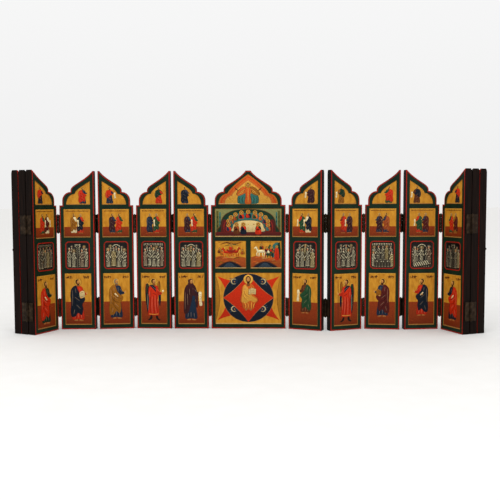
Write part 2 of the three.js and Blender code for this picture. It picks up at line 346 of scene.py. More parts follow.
joints = {joint["name"]: joint for joint in frame["joints"]}
hinge_frames, board_places = {}, {"centre": Matrix.Translation((0, -THICKNESS / 2 * MM, 0))}
for side_name, side in (("left", -1), ("right", 1)):
    turned = 0
    for number in range(1, LEAVES + 1):
        joint = joints[f"{side_name}_fold_{number}"]
        before = Matrix.Rotation(turned, 4, "Z")
        turned -= joint["axis"][2] * math.radians(joint["range_deg"][0])
        foot = Matrix.Translation((joint["pos_m"][0], joint["pos_m"][1], 0))
        after = Matrix.Rotation(turned, 4, "Z")
        hinge_frames[side_name, number] = foot @ before, foot @ after
        front = AXIS_OUT if number % 2 else -AXIS_OUT - THICKNESS
        middle = side * (HINGE_GAP + LEAF_WIDTH) / 2
        to_board = Matrix.Translation((middle * MM, front * MM, 0))
        board_places[f"{side_name}_leaf_{number}"] = foot @ after @ to_board

# Dark stained wood: dense grain along the board, nearly black, with a dull wax shine. The grain is drawn
# three times as wide as that of real close-grained wood, so that it shows.
GRAIN_WIDTH, GRAIN_LENGTH, STAIN_PATCH = 1.4, 45, 30
stained_wood, tree, shader, where = new_material("dark_stained_wood")
along = node(tree, "Mapping", {"Vector": where, "Scale": (1, 1, GRAIN_WIDTH / GRAIN_LENGTH)}).outputs[0]
grain, stain = noise(tree, along, GRAIN_WIDTH, 5.0), noise(tree, where, STAIN_PATCH, 3.0)
board_brown = mixed(tree, ranged(tree, grain, 0.35, 0.68), "#070302", "#1b0e08")
board_brown = mixed(tree, ranged(tree, stain, 0.35, 0.7, 0.0, 0.6), board_brown, "#0e0805")
fill(tree, shader, {"Base Color": board_brown, "Roughness": ranged(tree, grain, 0.0, 1.0, 0.68, 0.5),
                    "Specular IOR Level": 0.06, "Normal": bumped(tree, grain, 0.35, 0.12)})

PAINT_GRIT, CRACKLE, BRUSH_STRETCH = 0.9, 3.5, 0.4


def painted(name, body, light, wear, patch, roughness, wear_share):
    """Old oil paint over gesso: patchy colour, a fine crackle, and rubbed spots that show the wood."""
    material, tree, shader, where = new_material(name)
    brushed = node(tree, "Mapping", {"Vector": where, "Scale": (1, 1, BRUSH_STRETCH)}).outputs[0]
    cloud, fine = noise(tree, brushed, patch, 4.0), noise(tree, where, PAINT_GRIT, 3.0)
    colour = mixed(tree, ranged(tree, cloud, 0.3, 0.7), body, light)
    rubbed = node(tree, "Math", {0: cloud, 1: fine}, operation="MULTIPLY").outputs[0]
    rubbed = ranged(tree, rubbed, 0.42 - wear_share, 0.5 - wear_share)
    crackle = node(tree, "TexVoronoi", {"Vector": where, "Scale": 1 / (CRACKLE * MM)},
                   feature="DISTANCE_TO_EDGE").outputs[0]
    relief = node(tree, "Math", {0: ranged(tree, crackle, 0.0, 0.06), 1: fine, 2: 0.25},
                  operation="MULTIPLY_ADD").outputs[0]
    fill(tree, shader, {"Base Color": mixed(tree, rubbed, colour, wear),
                        "Roughness": ranged(tree, fine, 0.0, 1.0, roughness - 0.1, roughness + 0.12),
                        "Specular IOR Level": 0.08, "Normal": bumped(tree, relief, 0.18, 0.06)})
    return material


edge_red = painted("edge_red_oil_paint", "#80120a", "#b0200f", "#1f0c07", 26, 0.42, 0.11)
border_green = painted("border_green_oil_paint", "#0b1b10", "#132818", "#080f09", 18, 0.4, 0.02)
gold_ground = painted("ochre_gold_ground", "#a66c19", "#c28829", "#8f5914", 6, 0.42, 0.0)
# The walls of the sunk fields are a darker gold-brown than their ground: painted shade along the fields'
# edges.
field_wall_shade = painted("field_wall_painted_shade", "#7c5420", "#8f642a", "#573a16", 9, 0.5, 0.02)
BOARD_FINISHES = [stained_wood, edge_red, border_green, gold_ground, field_wall_shade]

half = CENTRE_WIDTH / 2
arch = arch_half(half, CENTRE_LEDGE, CENTRE_TIP)
arch_field = arch_field_half(half, CENTRE_LEDGE, CENTRE_ARCH_TOP, 0)
inner = half - SIDE_MARGIN
centre_fields = [
    rectangle(-inner, inner, *FULL_FIELD),
    rectangle(-inner, -MULLION / 2, *MIDDLE_FIELD),
    rectangle(MULLION / 2, inner, *MIDDLE_FIELD),
    rectangle(-inner, inner, *UPPER_FIELD),
    arch_field + mirrored(arch_field)[1:],
]
bm = board([(-half, 0), (half, 0)] + arch + mirrored(arch), centre_fields, [])
bm.transform(board_places["centre"] @ Matrix.Scale(MM, 4))
centre_board = ride(add_object("centre_panel_board", bm, BOARD_FINISHES), "centre", "painted_board",
                    "centre_panel")
smooth(centre_board, 25)

leaf_arch = arch_half(LEAF_WIDTH, LEAF_LEDGE, LEAF_TIP)
leaf_field = arch_field_half(LEAF_WIDTH, LEAF_LEDGE, LEAF_ARCH_TOP, SIDE_MARGIN)
far = LEAF_WIDTH - SIDE_MARGIN
tip_line = [(0, PEAK), (0, PEAK - TIP_WORN / 2), (0, PEAK - TIP_WORN)]
leaf_outline = [(0, 0), (LEAF_WIDTH, 0)] + leaf_arch + tip_line
leaf_fields = [
    rectangle(SIDE_MARGIN, far, *FULL_FIELD),
    rectangle(SIDE_MARGIN, far, *UPPER_FIELD),
    [(SIDE_MARGIN, ARCH_FIELD_LOW)] + leaf_field,
]


def leaf_shape(outline, peak_side):
    """A leaf's outline about its middle, with the peak edge on the left (-1) or right (1)."""
    placed = [(x - LEAF_WIDTH / 2, z) for x, z in outline]
    return placed if peak_side < 0 else mirrored(placed)


leaf_names = [(f"{side_name}_leaf_{number}", side, number)
              for side_name, side in (("left", -1), ("right", 1)) for number in range(1, LEAVES + 1)]
for name, side, number in leaf_names:
    peak_side = side if number % 2 else -side
    bm = board(leaf_shape(leaf_outline, peak_side), [leaf_shape(f, peak_side) for f in leaf_fields],
               [POCKET_CENTRE])
    for vert in bm.verts:
        worn = max(0, vert.co.z - PEAK + TIP_WORN) / TIP_WORN
        vert.co.y -= (vert.co.y / THICKNESS - 0.5) * 2 * TIP_THINNED * worn ** 2
    bm.transform(board_places[name] @ Matrix.Scale(MM, 4))
    smooth(ride(add_object(name + "_board", bm, BOARD_FINISHES), name, "painted_board", name), 25)

# Plaques: one cast relief to a leaf, of white metal with a dark patina and painted shade in its hollows,
# painted highlights on its high folds, and old brown and ochre enamel on the heads and some robes, shaded
# the same way. Each sits in its pocket inside the red moulding.
PLAQUE_WIDTH, PLAQUE_HEIGHT, PLAQUE_CORNER = 44.4, 51.4, 5
PLAQUE_BACK, PLAQUE_TOP, GROUND_LEVEL, RIM_WIDTH = 2.5, 0.45, 0.5, 1.6
CELL, CELL_IN_STACK, FIRST_IN_STACK = 0.35, 0.6, 6
# HOLLOW is the patina and painted shade in the hollows, BRIGHT the painted highlight on the high folds.
HOLLOW, TIN, BRIGHT = "#0b0806", "#453e32", "#d8cda8"
BROWN_ENAMEL, ORANGE_ENAMEL, YELLOW_ENAMEL = "#5a2a12", "#8a4416", "#9c8340"
HEAD_LEVEL, HALO_REACH, PLEATS, SWAGS = 0.865, 0.108, 6.4, 19
BODY_LEVELS = [0, 0.04, 0.34, 0.58, 0.70, 0.77, 0.80]
BODY_WIDTHS = [0.13, 0.138, 0.112, 0.128, 0.122, 0.07, 0]


def rising(low, high, value):
    """0 below low, 1 above high and a smooth ramp between."""
    t = np.clip((value - low) / (high - low), 0, 1)
    return t * t * (3 - 2 * t)


def bump_at(a, b, wide, tall):
    """A soft round bump of height 1 about 0."""
    return np.exp(-(a / wide) ** 2 - (b / tall) ** 2)


def dome(a, b, wide, tall):
    """Half of an egg, 1 in its middle and 0 at its rim and beyond."""
    return np.sqrt(np.clip(1 - (a / wide) ** 2 - (b / tall) ** 2, 0, 1))


def limb(d, s, start, stop, thick):
    """A round rod between two points, 1 along its ridge and 0 at its sides."""
    run = np.subtract(stop, start)
    t = np.clip(((d - start[0]) * run[0] + (s - start[1]) * run[1]) / (run @ run), 0, 1)
    return dome(np.hypot(d - start[0] - t * run[0], s - start[1] - t * run[1]), 0, thick, 1)


def softened(field, reach):
    """A field of heights averaged over a square of cells."""
    for axis in (0, 1):
        field = sum(np.roll(field, shift, axis) for shift in range(-reach, reach + 1)) / (2 * reach + 1)
    return field


def cast_figure(u, v, x, foot, tall, turn, phase):
    """A standing figure of the relief: how high it stands, and where its face, halo and robe are.

    Places on it are shares of its own height.
    """
    d, s = (u - x) / tall, (v - foot) / tall
    width = np.maximum(np.interp(s, BODY_LEVELS, BODY_WIDTHS), 1e-4)
    robe = (np.abs(d) < width) & (s > 0)
    across = np.clip(d / width, -1, 1)
    bulge = np.sqrt(1 - across ** 2)
    pleats = np.abs(np.sin(PLEATS * across + 1.1 * np.sin(6 * s + phase) + phase)) ** 0.7
    swags = np.abs(np.sin(SWAGS * s + 3.4 * turn * across + 1.5 * np.sin(2 * across + phase))) ** 0.7
    over = s - 0.34 - 0.2 * turn * across - 0.05 * np.sin(5 * across + phase)
    cloth = np.where(over > 0, 0.32 + 0.3 * swags * bulge, 0.22 + 0.32 * pleats * bulge)
    height = np.where(robe, cloth + 0.26 * bulge, 0)
    for way, hand in ((turn, (0.035, 0.60)), (-turn, (0.05, 0.46))):
        arm = limb(d, s, (way * 0.115, 0.47 if way == turn else 0.56), (way * hand[0], hand[1]), 0.029)
        height = np.where(arm > 0, np.maximum(height, 0.5 + 0.34 * arm), height)
        palm = dome(d - way * hand[0] * 0.6, s - hand[1] - 0.025, 0.014, 0.022)
        height = np.where(palm > 0, 0.7 + 0.25 * palm, height)
    over_head = s - HEAD_LEVEL
    from_head = np.hypot(d, over_head) / HALO_REACH
    halo = from_head < 1
    rays = 0.04 * np.cos(22 * np.arctan2(d, over_head)) * (from_head < 0.84)
    height = np.maximum(height, np.where(halo, 0.3 + rays + 0.2 * bump_at(from_head - 0.9, 0, 0.07, 1), 0))
    hair = dome(d, over_head - 0.008, 0.06, 0.07)
    locks = 0.05 * np.cos(26 * np.arctan2(d, over_head + 0.02))
    height = np.where(hair > 0, np.maximum(height, 0.42 + 0.34 * hair + locks), height)
    d, over_head = d - 0.007 * turn, over_head + 0.008
    cheeks = dome(d, over_head, 0.043, 0.055)
    nose = bump_at(d, over_head + 0.004, 0.008, 0.018)
    mouth = bump_at(d, over_head + 0.03, 0.016, 0.006)
    eyes = bump_at(np.abs(d) - 0.02, over_head - 0.012, 0.010, 0.009)
    beard = dome(d, over_head + 0.05, 0.034, 0.036) * (over_head < -0.034)
    height = np.where(cheeks > 0, 0.56 + 0.34 * cheeks + 0.16 * nose - 0.12 * mouth - 0.26 * eyes, height)
    height = np.where(beard > 0, 0.62 + 0.26 * beard + 0.05 * np.cos(d * 300), height)
    return np.clip(height, 0, 1), cheeks > 0.2, halo, robe


def cast_setting(u, v, kind):
    """The height of what stands behind the figures: a cornice on columns, a tower, or a glory."""
    slope = v - 8 - 9 * np.sin(u * 0.16 + 2) - 3 * np.sin(u * 0.41)
    height = np.where(slope < 0, 0.14 + 0.22 * np.abs(np.sin(slope * 0.55 + u * 0.12)), 0.1)
    if kind in ("crowd", "table"):
        cornice = (np.abs(v - 21) < 2.2) * (0.36 + 0.16 * (np.sin(u * 1.9) > 0))
        column = (np.cos(u * 0.43 + 1) > 0.86) * (v < 19) * (0.3 + 0.08 * np.cos(u * 4))
        arch = 0.42 * bump_at(np.hypot(u, (v - 6) * 1.1) - 13.5, 0, 0.9, 1) * (v > 6)
        return np.maximum(0.1, np.maximum(cornice, np.maximum(column, arch)))
    if kind == "tower":
        shaft = (np.abs(u) < 3.4) & (v < 17) | (np.abs(u) < 5.5) & (np.abs(v - 19) < 2.6)
        courses = np.sign(np.sin(v * 1.5))
        return np.where(shaft, 0.42 + 0.14 * (courses * np.cos(u * 1.4 + courses) > 0), height)
    spread = np.hypot(u / 0.62, v - 1)
    rays = (0.5 + 0.5 * np.cos(26 * np.arctan2(v - 1, u))) * (spread < 20)
    return np.maximum(height, 0.44 * bump_at(spread - 20, 0, 1.2, 1) + 0.16 * rays)


def cast_front(u, v, kind):
    """The height of what stands before the figures: a round table with its cloth, or a couch with bands."""
    if kind == "table":
        dishes = bump_at(np.abs(np.abs(u) - 6) - 4, v + 13, 1.2, 1.2)
        cloth = 0.5 + 0.5 * np.cos(u * 1.1) * (v < -16)
        return (np.hypot(u / 17.5, (v + 19) / 11) < 1) * (0.6 + 0.12 * cloth + 0.2 * dishes)
    if kind == "glory":
        across = v + 17 - 0.16 * u
        top = dome(across, np.clip(np.abs(u) - 12, 0, None), 4.6, 4.6)
        return (top > 0) * (0.5 + 0.36 * top + 0.12 * np.cos(u * 1.5 + across * 0.9))
    return np.zeros_like(u)


# Cast white metal: dull silver with painted highlights on the high folds, black patina and painted shade
# in the hollows, brown and ochre where enamel is left. The sand of the mould is drawn coarser than it was,
# so that it shows.
CAST_SAND = 0.7
cast_metal, tree, shader, where = new_material("cast_white_metal_with_enamel")
cast_colour = node(tree, "Attribute", attribute_name="cast_colour")
grit = noise(tree, where, CAST_SAND, 4.0)
dull = ranged(tree, grit, 0.3, 0.7, 0.7, 1.15)
fill(tree, shader, {"Base Color": mixed(tree, 1.0, cast_colour.outputs["Color"], dull, "MULTIPLY"),
                    "Metallic": cast_colour.outputs["Alpha"],
                    "Roughness": ranged(tree, grit, 0.0, 1.0, 0.32, 0.52),
                    "Specular IOR Level": 0.2, "Normal": bumped(tree, grit, 0.25, 0.08)})

# Rows of figures on each kind of plaque, from the back: their places across, their feet and their height.
CAST_ROWS = {
    "crowd": [((-14, -5, 5, 14), -13, 36), ((-17, -8.5, 0, 8.5, 17), -22.5, 39)],
    "group": [((-11, 0, 11), -12, 35), ((-15.5, -5.5, 5.5, 15.5), -22.5, 40)],
    "tower": [((-12, 12), -12, 34), ((-16.5, -8, 8, 16.5), -22.5, 39)],
    "table": [((-16, -8, 0, 8, 16), -12, 33), ((-18, 18), -22.5, 33)],
    "glory": [((-17, -10, 10, 17), -14, 32), ((-14, 0, 14), -19, 38)],
}
CAST_KINDS = {"left": ["group", "crowd", "group", "tower", "crowd", "table", "glory"],
              "right": ["group", "group", "table", "glory", "tower", "crowd", "group"]}
BACK_ROW_SHARE, DROP_BEHIND = 0.8, 0.45
NEAR_PATINA_AND_SHADE, WIDE_PATINA_AND_SHADE = 1.0, 2.6


def plaque(number, kind, chance):
    """A plaque in millimetres about the board's middle line, with its relief towards -Y."""
    bm = bmesh.new()
    colours = bm.verts.layers.float_color.new("cast_colour")
    cell = CELL if number < FIRST_IN_STACK else CELL_IN_STACK
    columns, rows = round(PLAQUE_WIDTH / cell), round(PLAQUE_HEIGHT / cell)
    bmesh.ops.create_grid(bm, x_segments=columns, y_segments=rows, size=0.5)
    verts = sorted(bm.verts, key=lambda vert: (round(vert.co.y, 5), round(vert.co.x, 5)))
    u = np.array([vert.co.x for vert in verts]) * PLAQUE_WIDTH
    v = np.array([vert.co.y for vert in verts]) * PLAQUE_HEIGHT
    corner_u, corner_v = PLAQUE_WIDTH / 2 - PLAQUE_CORNER, PLAQUE_HEIGHT / 2 - PLAQUE_CORNER
    past_u, past_v = np.clip(np.abs(u) - corner_u, 0, None), np.clip(np.abs(v) - corner_v, 0, None)
    reach = np.hypot(past_u, past_v)
    pull = np.where((past_u > 0) & (past_v > 0), np.minimum(1, PLAQUE_CORNER / np.maximum(reach, 1e-6)), 1)
    u = np.where(past_u > 0, np.sign(u) * (corner_u + past_u * pull), u)
    v = np.where(past_v > 0, np.sign(v) * (corner_v + past_v * pull), v)
    to_edge = np.where((past_u > 0) & (past_v > 0), PLAQUE_CORNER - reach,
                       np.minimum(PLAQUE_WIDTH / 2 - np.abs(u), PLAQUE_HEIGHT / 2 - np.abs(v)))
    relief = cast_setting(u, v, kind)
    enamelled = []
    for row, (spots, foot, tall) in enumerate(CAST_ROWS[kind]):
        for i, spot in enumerate(spots):
            x = spot + chance.uniform(-0.7, 0.7)
            shape, face, halo, robe = cast_figure(u, v, x, foot + chance.uniform(-1.2, 1.2),
                                                  tall + chance.uniform(-2.5, 1.5), 1 if x < 0 else -1,
                                                  chance.uniform(0, 6))
            relief = np.where(shape > 0,
                              np.maximum(shape * (1 if row else BACK_ROW_SHARE), relief * DROP_BEHIND),
                              relief)
            enamelled = [(mask & (shape == 0), hue, share) for mask, hue, share in enamelled]
            enamelled.append((face, ORANGE_ENAMEL if (i + row) % 2 else BROWN_ENAMEL, 0.8))
            if i % 3 == number % 3:
                enamelled.append((halo & ~robe & ~face, YELLOW_ENAMEL, 0.5))
            if (i + 2 * row) % 4 == number % 4:
                enamelled.append((robe & ~halo, YELLOW_ENAMEL if number % 2 else BROWN_ENAMEL, 0.4))
    front = cast_front(u, v, kind)
    relief = np.maximum(relief, front)
    relief = np.maximum(relief, (0.42 + 0.1 * np.cos(u * 1.3)) * bump_at(v + 23, 0, 1.4, 1))
    rim = 1 - rising(RIM_WIDTH * 0.5, RIM_WIDTH, to_edge)
    relief = np.clip(np.maximum(relief * rising(0.6, 2.2, to_edge), 0.72 * rim), 0, 1)
    relief = relief.reshape(rows + 1, columns + 1)
    relief = softened(relief, 1) if cell < CELL_IN_STACK else relief
    # Patina and painted shade: the metal is darker where the relief lies below its surroundings, and
    # lighter, up to painted highlights, where it is high and stands proud.
    near, wide = round(NEAR_PATINA_AND_SHADE / cell), round(WIDE_PATINA_AND_SHADE / cell)
    proud = 3.8 * (relief - softened(relief, near)) + 1.4 * (relief - softened(relief, wide))
    light = np.where(rim > 0.1, 0.3, (0.08 + 0.44 * relief + proud).ravel())
    relief = relief.ravel()
    dark, mid, high = (np.array(linear(c)[:3]) for c in (HOLLOW, TIN, BRIGHT))
    lift = np.clip(light, 0, 1)[:, None]
    tint = np.ones((len(verts), 4))
    tint[:, :3] = dark + (mid - dark) * rising(0.1, 0.5, lift) + (high - mid) * rising(0.45, 1.0, lift)
    tint[:, 3] = 0.3 + 0.5 * rising(0.1, 0.5, light)
    # The enamel takes the same painted shade: darker in the hollows and lighter on the high parts.
    for mask, hue, share in enamelled:
        share = (mask & (front == 0))[:, None] * share
        tint[:, :3] += (np.array(linear(hue)[:3]) * (0.3 + 1.3 * lift) - tint[:, :3]) * share
        tint[:, 3] *= 1 - share[:, 0] * 0.8
    span = PLAQUE_BACK - PLAQUE_TOP - GROUND_LEVEL
    for vert, x, z, h, hue in zip(verts, u, v, relief, tint):
        vert.co = (x, PLAQUE_BACK - GROUND_LEVEL - span * h, POCKET_CENTRE + z)
        vert[colours] = hue
    edges = [e for e in bm.edges if e.is_boundary]
    wall = bmesh.ops.extrude_edge_only(bm, edges=edges)["geom"]
    for vert in (g for g in wall if isinstance(g, bmesh.types.BMVert)):
        vert.co.y = PLAQUE_BACK
    bmesh.ops.holes_fill(bm, edges=[e for e in bm.edges if e.is_boundary])
    bmesh.ops.recalc_face_normals(bm, faces=bm.faces)
    return bm


for name, side, number in leaf_names:
    kind = CAST_KINDS[name.split("_")[0]][number - 1]
    bm = plaque(number, kind, random.Random(f"cast {name}"))
    bm.transform(board_places[name] @ Matrix.Scale(MM, 4))
    node_name = name.replace("leaf", "plaque")
    smooth(ride(add_object(node_name + "_relief", bm, [cast_metal]), name, "cast_relief", node_name), 60)

# Hinges: two iron butt hinges to a joint, with their plates screwed to the narrow edges of the boards.
# The half nearer the centre has three knuckles and the pin with its ball ends, the other half has two.
HINGE_HEIGHT, HINGE_CENTRES = 36, {"lower": 44, "upper": 212}
PLATE_THICK, PLATE_WIDE, PLATE_CLEAR, BARREL = 1.4, 12, 0.3, 2.5
KNUCKLES, KNUCKLE_GAP, PIN_RADIUS = 5, 0.3, 1.1
SCREW_RADIUS, SCREW_PROUD, SLOT_WIDTH, SCREW_SPACING, SCREW_FROM_AXIS = 1.7, 0.18, 0.5, 11.5, 7.5

# Blackened iron: dark brown-black with a little rust in patches and rubbed grey metal showing through.
RUST_PATCH, RUBBED_SPOT = 6, 1.1
blackened_iron, tree, shader, where = new_material("blackened_iron")
rust, rub = noise(tree, where, RUST_PATCH, 6.0), noise(tree, where, RUBBED_SPOT, 4.0)
rust_share = ranged(tree, rust, 0.45, 0.68)
iron = mixed(tree, rust_share, "#231910", "#37291b")
iron = mixed(tree, ranged(tree, rub, 0.62, 0.78, 0.0, 0.3), iron, "#453a2c")
fill(tree, shader, {"Base Color": iron, "Metallic": ranged(tree, rust_share, 0.0, 1.0, 0.55, 0.15),
                    "Roughness": ranged(tree, rub, 0.0, 1.0, 0.45, 0.7), "Specular IOR Level": 0.12,
                    "Normal": bumped(tree, rub, 0.3, 0.1)})


def block(bm, low, high, bevel):
    """A box between two corners with its edges rounded off."""
    low, high = Vector(low), Vector(high)
    low, high = Vector(map(min, low, high)), Vector(map(max, low, high))
    made = bmesh.ops.create_cube(bm, size=1)["verts"]
    bmesh.ops.scale(bm, vec=high - low, verts=made)
    bmesh.ops.translate(bm, vec=(low + high) / 2, verts=made)
    edges = {e for v in made for e in v.link_edges}
    bmesh.ops.bevel(bm, geom=list(edges), offset=bevel, affect="EDGES", segments=2, profile=0.5,
                    material=-1)


def turned_rod(bm, radius, low, high, bevel):
    """An upright rod on the Z axis with rounded rims."""
    made = bmesh.ops.create_cone(bm, segments=20, radius1=radius, radius2=radius, depth=high - low,
                                 cap_ends=True)
    bmesh.ops.translate(bm, vec=(0, 0, (low + high) / 2), verts=made["verts"])
    rims = {e for v in made["verts"] for e in v.link_edges if len(e.link_faces) == 2
            and abs(e.link_faces[0].normal.z - e.link_faces[1].normal.z) > 0.5}
    bmesh.ops.bevel(bm, geom=list(rims), offset=bevel, affect="EDGES", segments=2, profile=0.5, material=-1)


def pour(bm, fresh):
    """Adds all of a fresh mesh to another one, and frees it."""
    holder = bpy.data.meshes.new("holder")
    fresh.to_mesh(holder)
    fresh.free()
    bm.from_mesh(holder)
    bpy.data.meshes.remove(holder)


def slotted_screw(bm, place, radius, proud, slot):
    """A domed screw head in two halves either side of its slot, standing along +Z of its place."""
    fresh = bmesh.new()
    for turn in (0, math.pi):
        half_head = bmesh.ops.create_cone(fresh, segments=18, radius1=radius, radius2=radius * 0.8,
                                          depth=proud * 2, cap_ends=True)["verts"]
        faces = {f for v in half_head for f in v.link_faces}
        edges = {e for v in half_head for e in v.link_edges}
        cut = bmesh.ops.bisect_plane(fresh, geom=list(half_head) + list(faces) + list(edges), dist=1e-5,
                                     plane_co=(slot / 2, 0, 0), plane_no=(1, 0, 0), clear_inner=True)
        rim = [g for g in cut["geom_cut"] if isinstance(g, bmesh.types.BMEdge)]
        bmesh.ops.contextual_create(fresh, geom=rim)
        island = {v for e in rim for v in e.verts}
        while True:
            grown = island | {o for v in island for e in v.link_edges for o in e.verts}
            if len(grown) == len(island):
                break
            island = grown
        bmesh.ops.rotate(fresh, cent=(0, 0, 0), matrix=Matrix.Rotation(turn, 3, "Z"), verts=list(island))
    bmesh.ops.recalc_face_normals(fresh, faces=fresh.faces)
    fresh.transform(place)
    pour(bm, fresh)


def hinge_half(bm, height, towards, run, own_knuckles, with_pin):
    """Half a hinge on the Z axis: its plate on the board edge towards -X or +X, running back or front."""
    fresh = bmesh.new()
    outer = HINGE_GAP / 2 - PLATE_CLEAR
    block(fresh, (towards * (outer - PLATE_THICK), run * AXIS_OUT, -HINGE_HEIGHT / 2),
          (towards * outer, run * (AXIS_OUT + PLATE_WIDE), HINGE_HEIGHT / 2), 0.25)
    pitch = HINGE_HEIGHT / KNUCKLES
    for i in own_knuckles:
        low = -HINGE_HEIGHT / 2 + i * pitch
        turned_rod(fresh, BARREL, low + KNUCKLE_GAP / 2, low + pitch - KNUCKLE_GAP / 2, 0.3)
        block(fresh, (towards * (outer - PLATE_THICK), 0, low + KNUCKLE_GAP / 2),
              (towards * outer, run * (AXIS_OUT + 1.5), low + pitch - KNUCKLE_GAP / 2), 0.2)
    if with_pin:
        turned_rod(fresh, PIN_RADIUS, -HINGE_HEIGHT / 2 - 0.2, HINGE_HEIGHT / 2 + 0.2, 0.2)
        for end in (-1, 1):
            ball = bmesh.ops.create_uvsphere(fresh, u_segments=14, v_segments=8,
                                             radius=PIN_RADIUS * 1.35)["verts"]
            bmesh.ops.scale(fresh, vec=(1, 1, 0.7), verts=ball)
            bmesh.ops.translate(fresh, vec=(0, 0, end * (HINGE_HEIGHT / 2 + 0.4)), verts=ball)
    for level in (-1, 0, 1):
        spot = Vector((towards * (outer - PLATE_THICK), run * SCREW_FROM_AXIS, level * SCREW_SPACING))
        facing = Matrix.Rotation(-towards * math.pi / 2, 4, "Y") @ Matrix.Rotation(level + 0.4, 4, "Z")
        slotted_screw(fresh, Matrix.Translation(spot) @ facing, SCREW_RADIUS, SCREW_PROUD, SLOT_WIDTH)
    fresh.transform(Matrix.Translation((0, 0, height)))
    pour(bm, fresh)


for name, side, number in leaf_names:
    side_name = name.split("_")[0]
    fold = 1 if number % 2 else -1
    carrier = "centre" if number == 1 else f"{side_name}_leaf_{number - 1}"
    fixed_frame, turned_frame = hinge_frames[side_name, number]
    solids = [f"{side_name}_hinge_{number}_{level}" for level in HINGE_CENTRES]
    for half_name, place, towards, knuckles, body in (("fixed", fixed_frame, -side, (0, 2, 4), carrier),
                                                      ("swinging", turned_frame, side, (1, 3), name)):
        bm = bmesh.new()
        for height in HINGE_CENTRES.values():
            hinge_half(bm, height, towards, fold, knuckles, half_name == "fixed")
        bm.transform(place @ Matrix.Scale(MM, 4))
        thing = add_object(f"{side_name}_hinges_{number}_{half_name}", bm, [blackened_iron])
        smooth(ride(thing, body, "hinge_iron", *(solids if half_name == "fixed" else ())), 35)

# Clasps: a small brass plate on the back of each outermost leaf, held by two screws, with a turned knob
# in its middle. Old brass, gone brown.
CLASP_HEIGHT, CLASP_FROM_EDGE, CLASP_CLEAR = 163, 7, 0.3
CLASP_WIDE, CLASP_TALL, CLASP_THICK = 9, 18, 1.2
# The radius of a screw head, how far it stands proud, and the width of its slot.
CLASP_SCREW, CLASP_SCREW_OUT = (1.3, 0.15, 0.35), 6.4
KNOB_PROFILE = [(0, 5), (1.2, 4.8), (2.1, 4.2), (2.4, 3.5), (2.1, 2.7), (1.5, 2.2), (1.4, 1.0), (1.9, 0.3),
                (2.4, 0)]

# Aged brass: brown-gold, tarnished darker in patches, with brighter rubbed spots between them.
TARNISH_PATCH = 2.5
aged_brass, tree, shader, where = new_material("aged_brass")
tarnish = noise(tree, where, TARNISH_PATCH, 5.0)
brass = mixed(tree, ranged(tree, tarnish, 0.4, 0.65), "#3a2b12", "#1b140a")
fill(tree, shader, {"Base Color": brass, "Metallic": 0.9,
                    "Roughness": ranged(tree, tarnish, 0.0, 1.0, 0.3, 0.55),
                    "Normal": bumped(tree, tarnish, 0.2, 0.08)})

for side_name, side in (("left", -1), ("right", 1)):
    leaf = f"{side_name}_leaf_{LEAVES}"
    bm = bmesh.new()
    block(bm, (-CLASP_WIDE / 2, 0, -CLASP_TALL / 2), (CLASP_WIDE / 2, CLASP_THICK, CLASP_TALL / 2), 0.35)
    profile = [bm.verts.new((r, CLASP_THICK + reach, 0)) for r, reach in KNOB_PROFILE]
    wire = [bm.edges.new(pair) for pair in zip(profile, profile[1:])]
    bmesh.ops.spin(bm, geom=profile + wire, cent=(0, 0, 0), axis=(0, 1, 0), angle=2 * math.pi, steps=24,
                   use_merge=True)
    bmesh.ops.remove_doubles(bm, verts=bm.verts, dist=1e-4)
    bmesh.ops.holes_fill(bm, edges=[e for e in bm.edges if e.is_boundary])
    bmesh.ops.recalc_face_normals(bm, faces=bm.faces)
    for level in (-1, 1):
        spot = Matrix.Translation((0, CLASP_THICK, level * CLASP_SCREW_OUT))
        slotted_screw(bm, spot @ Matrix.Rotation(-math.pi / 2, 4, "X"), *CLASP_SCREW)
    middle = side * (LEAF_WIDTH / 2 - CLASP_FROM_EDGE)
    spot = Matrix.Translation(Vector((middle, THICKNESS + CLASP_CLEAR, CLASP_HEIGHT)) * MM)
    bm.transform(board_places[leaf] @ spot @ Matrix.Scale(MM, 4))
    clasp = ride(add_object(f"{side_name}_clasp_knob", bm, [aged_brass]), leaf, "clasp_brass",
                 f"{side_name}_clasp")
    smooth(clasp, 40)

# Pictures on the leaves: egg tempera on the gold ground of each field, laid in thin flat coats with dark
# folds and light touches over them. A large robed figure stands below, two above the plaque and one in
# the arch. Each touch of paint is a thin closed slab, and its coat says how high it lies.
PIGMENTS = {name: linear(hue) for name, hue in {
    "cinnabar": "#b0260a", "madder": "#7c1f14", "maroon": "#4a1612", "blue": "#182638", "night": "#0f1722",
    "green": "#1d3f24", "pine": "#122b1b", "ochre": "#84500f", "umber": "#55290f", "plum": "#341719",
    "white": "#d6c598", "linen": "#b9a370", "teal": "#2c5a52", "black": "#120e0b", "flesh": "#93592a",
    "glow": "#bd8646", "hair": "#2b170b", "grey": "#776a52", "halo": "#bd8a30", "ring": "#6d4312",
    "earth": "#762c0c", "loam": "#6d280a", "rust": "#8d3f17", "orange": "#b2541a", "ink": "#4a1d0c",
    "gold": "#c08a33", "olive": "#4d4a20", "sage": "#6f6f42", "dusk": "#96651a", "steel": "#3c4a56",
    "cream": "#c4aa70", "tan": "#a07440", "sun": "#cf9a3c",
}.items()}
# How thick a coat is, how deep paint reaches into the ground, and how much fuller the robes are drawn.
COAT, UNDER, GIRTH = 0.013, 0.06, 0.17
PAINT_GAP, EDGE_CLEAR, PALE_LINE = FIELD_DRAFT + 0.15, 0.9, 0.9


def tone(hue, factor):
    """A pigment made darker or lighter."""
    red, green, blue, alpha = PIGMENTS[hue] if isinstance(hue, str) else hue
    return (min(red * factor, 1), min(green * factor, 1), min(blue * factor, 1), alpha)


def lit(hue):
    """A pigment as its light touches show it, mixed with white."""
    body = tone(hue, 1)
    return tuple(c + (w - c) * 0.15 for c, w in zip(body[:3], (0.62, 0.42, 0.24))) + (1.0,)


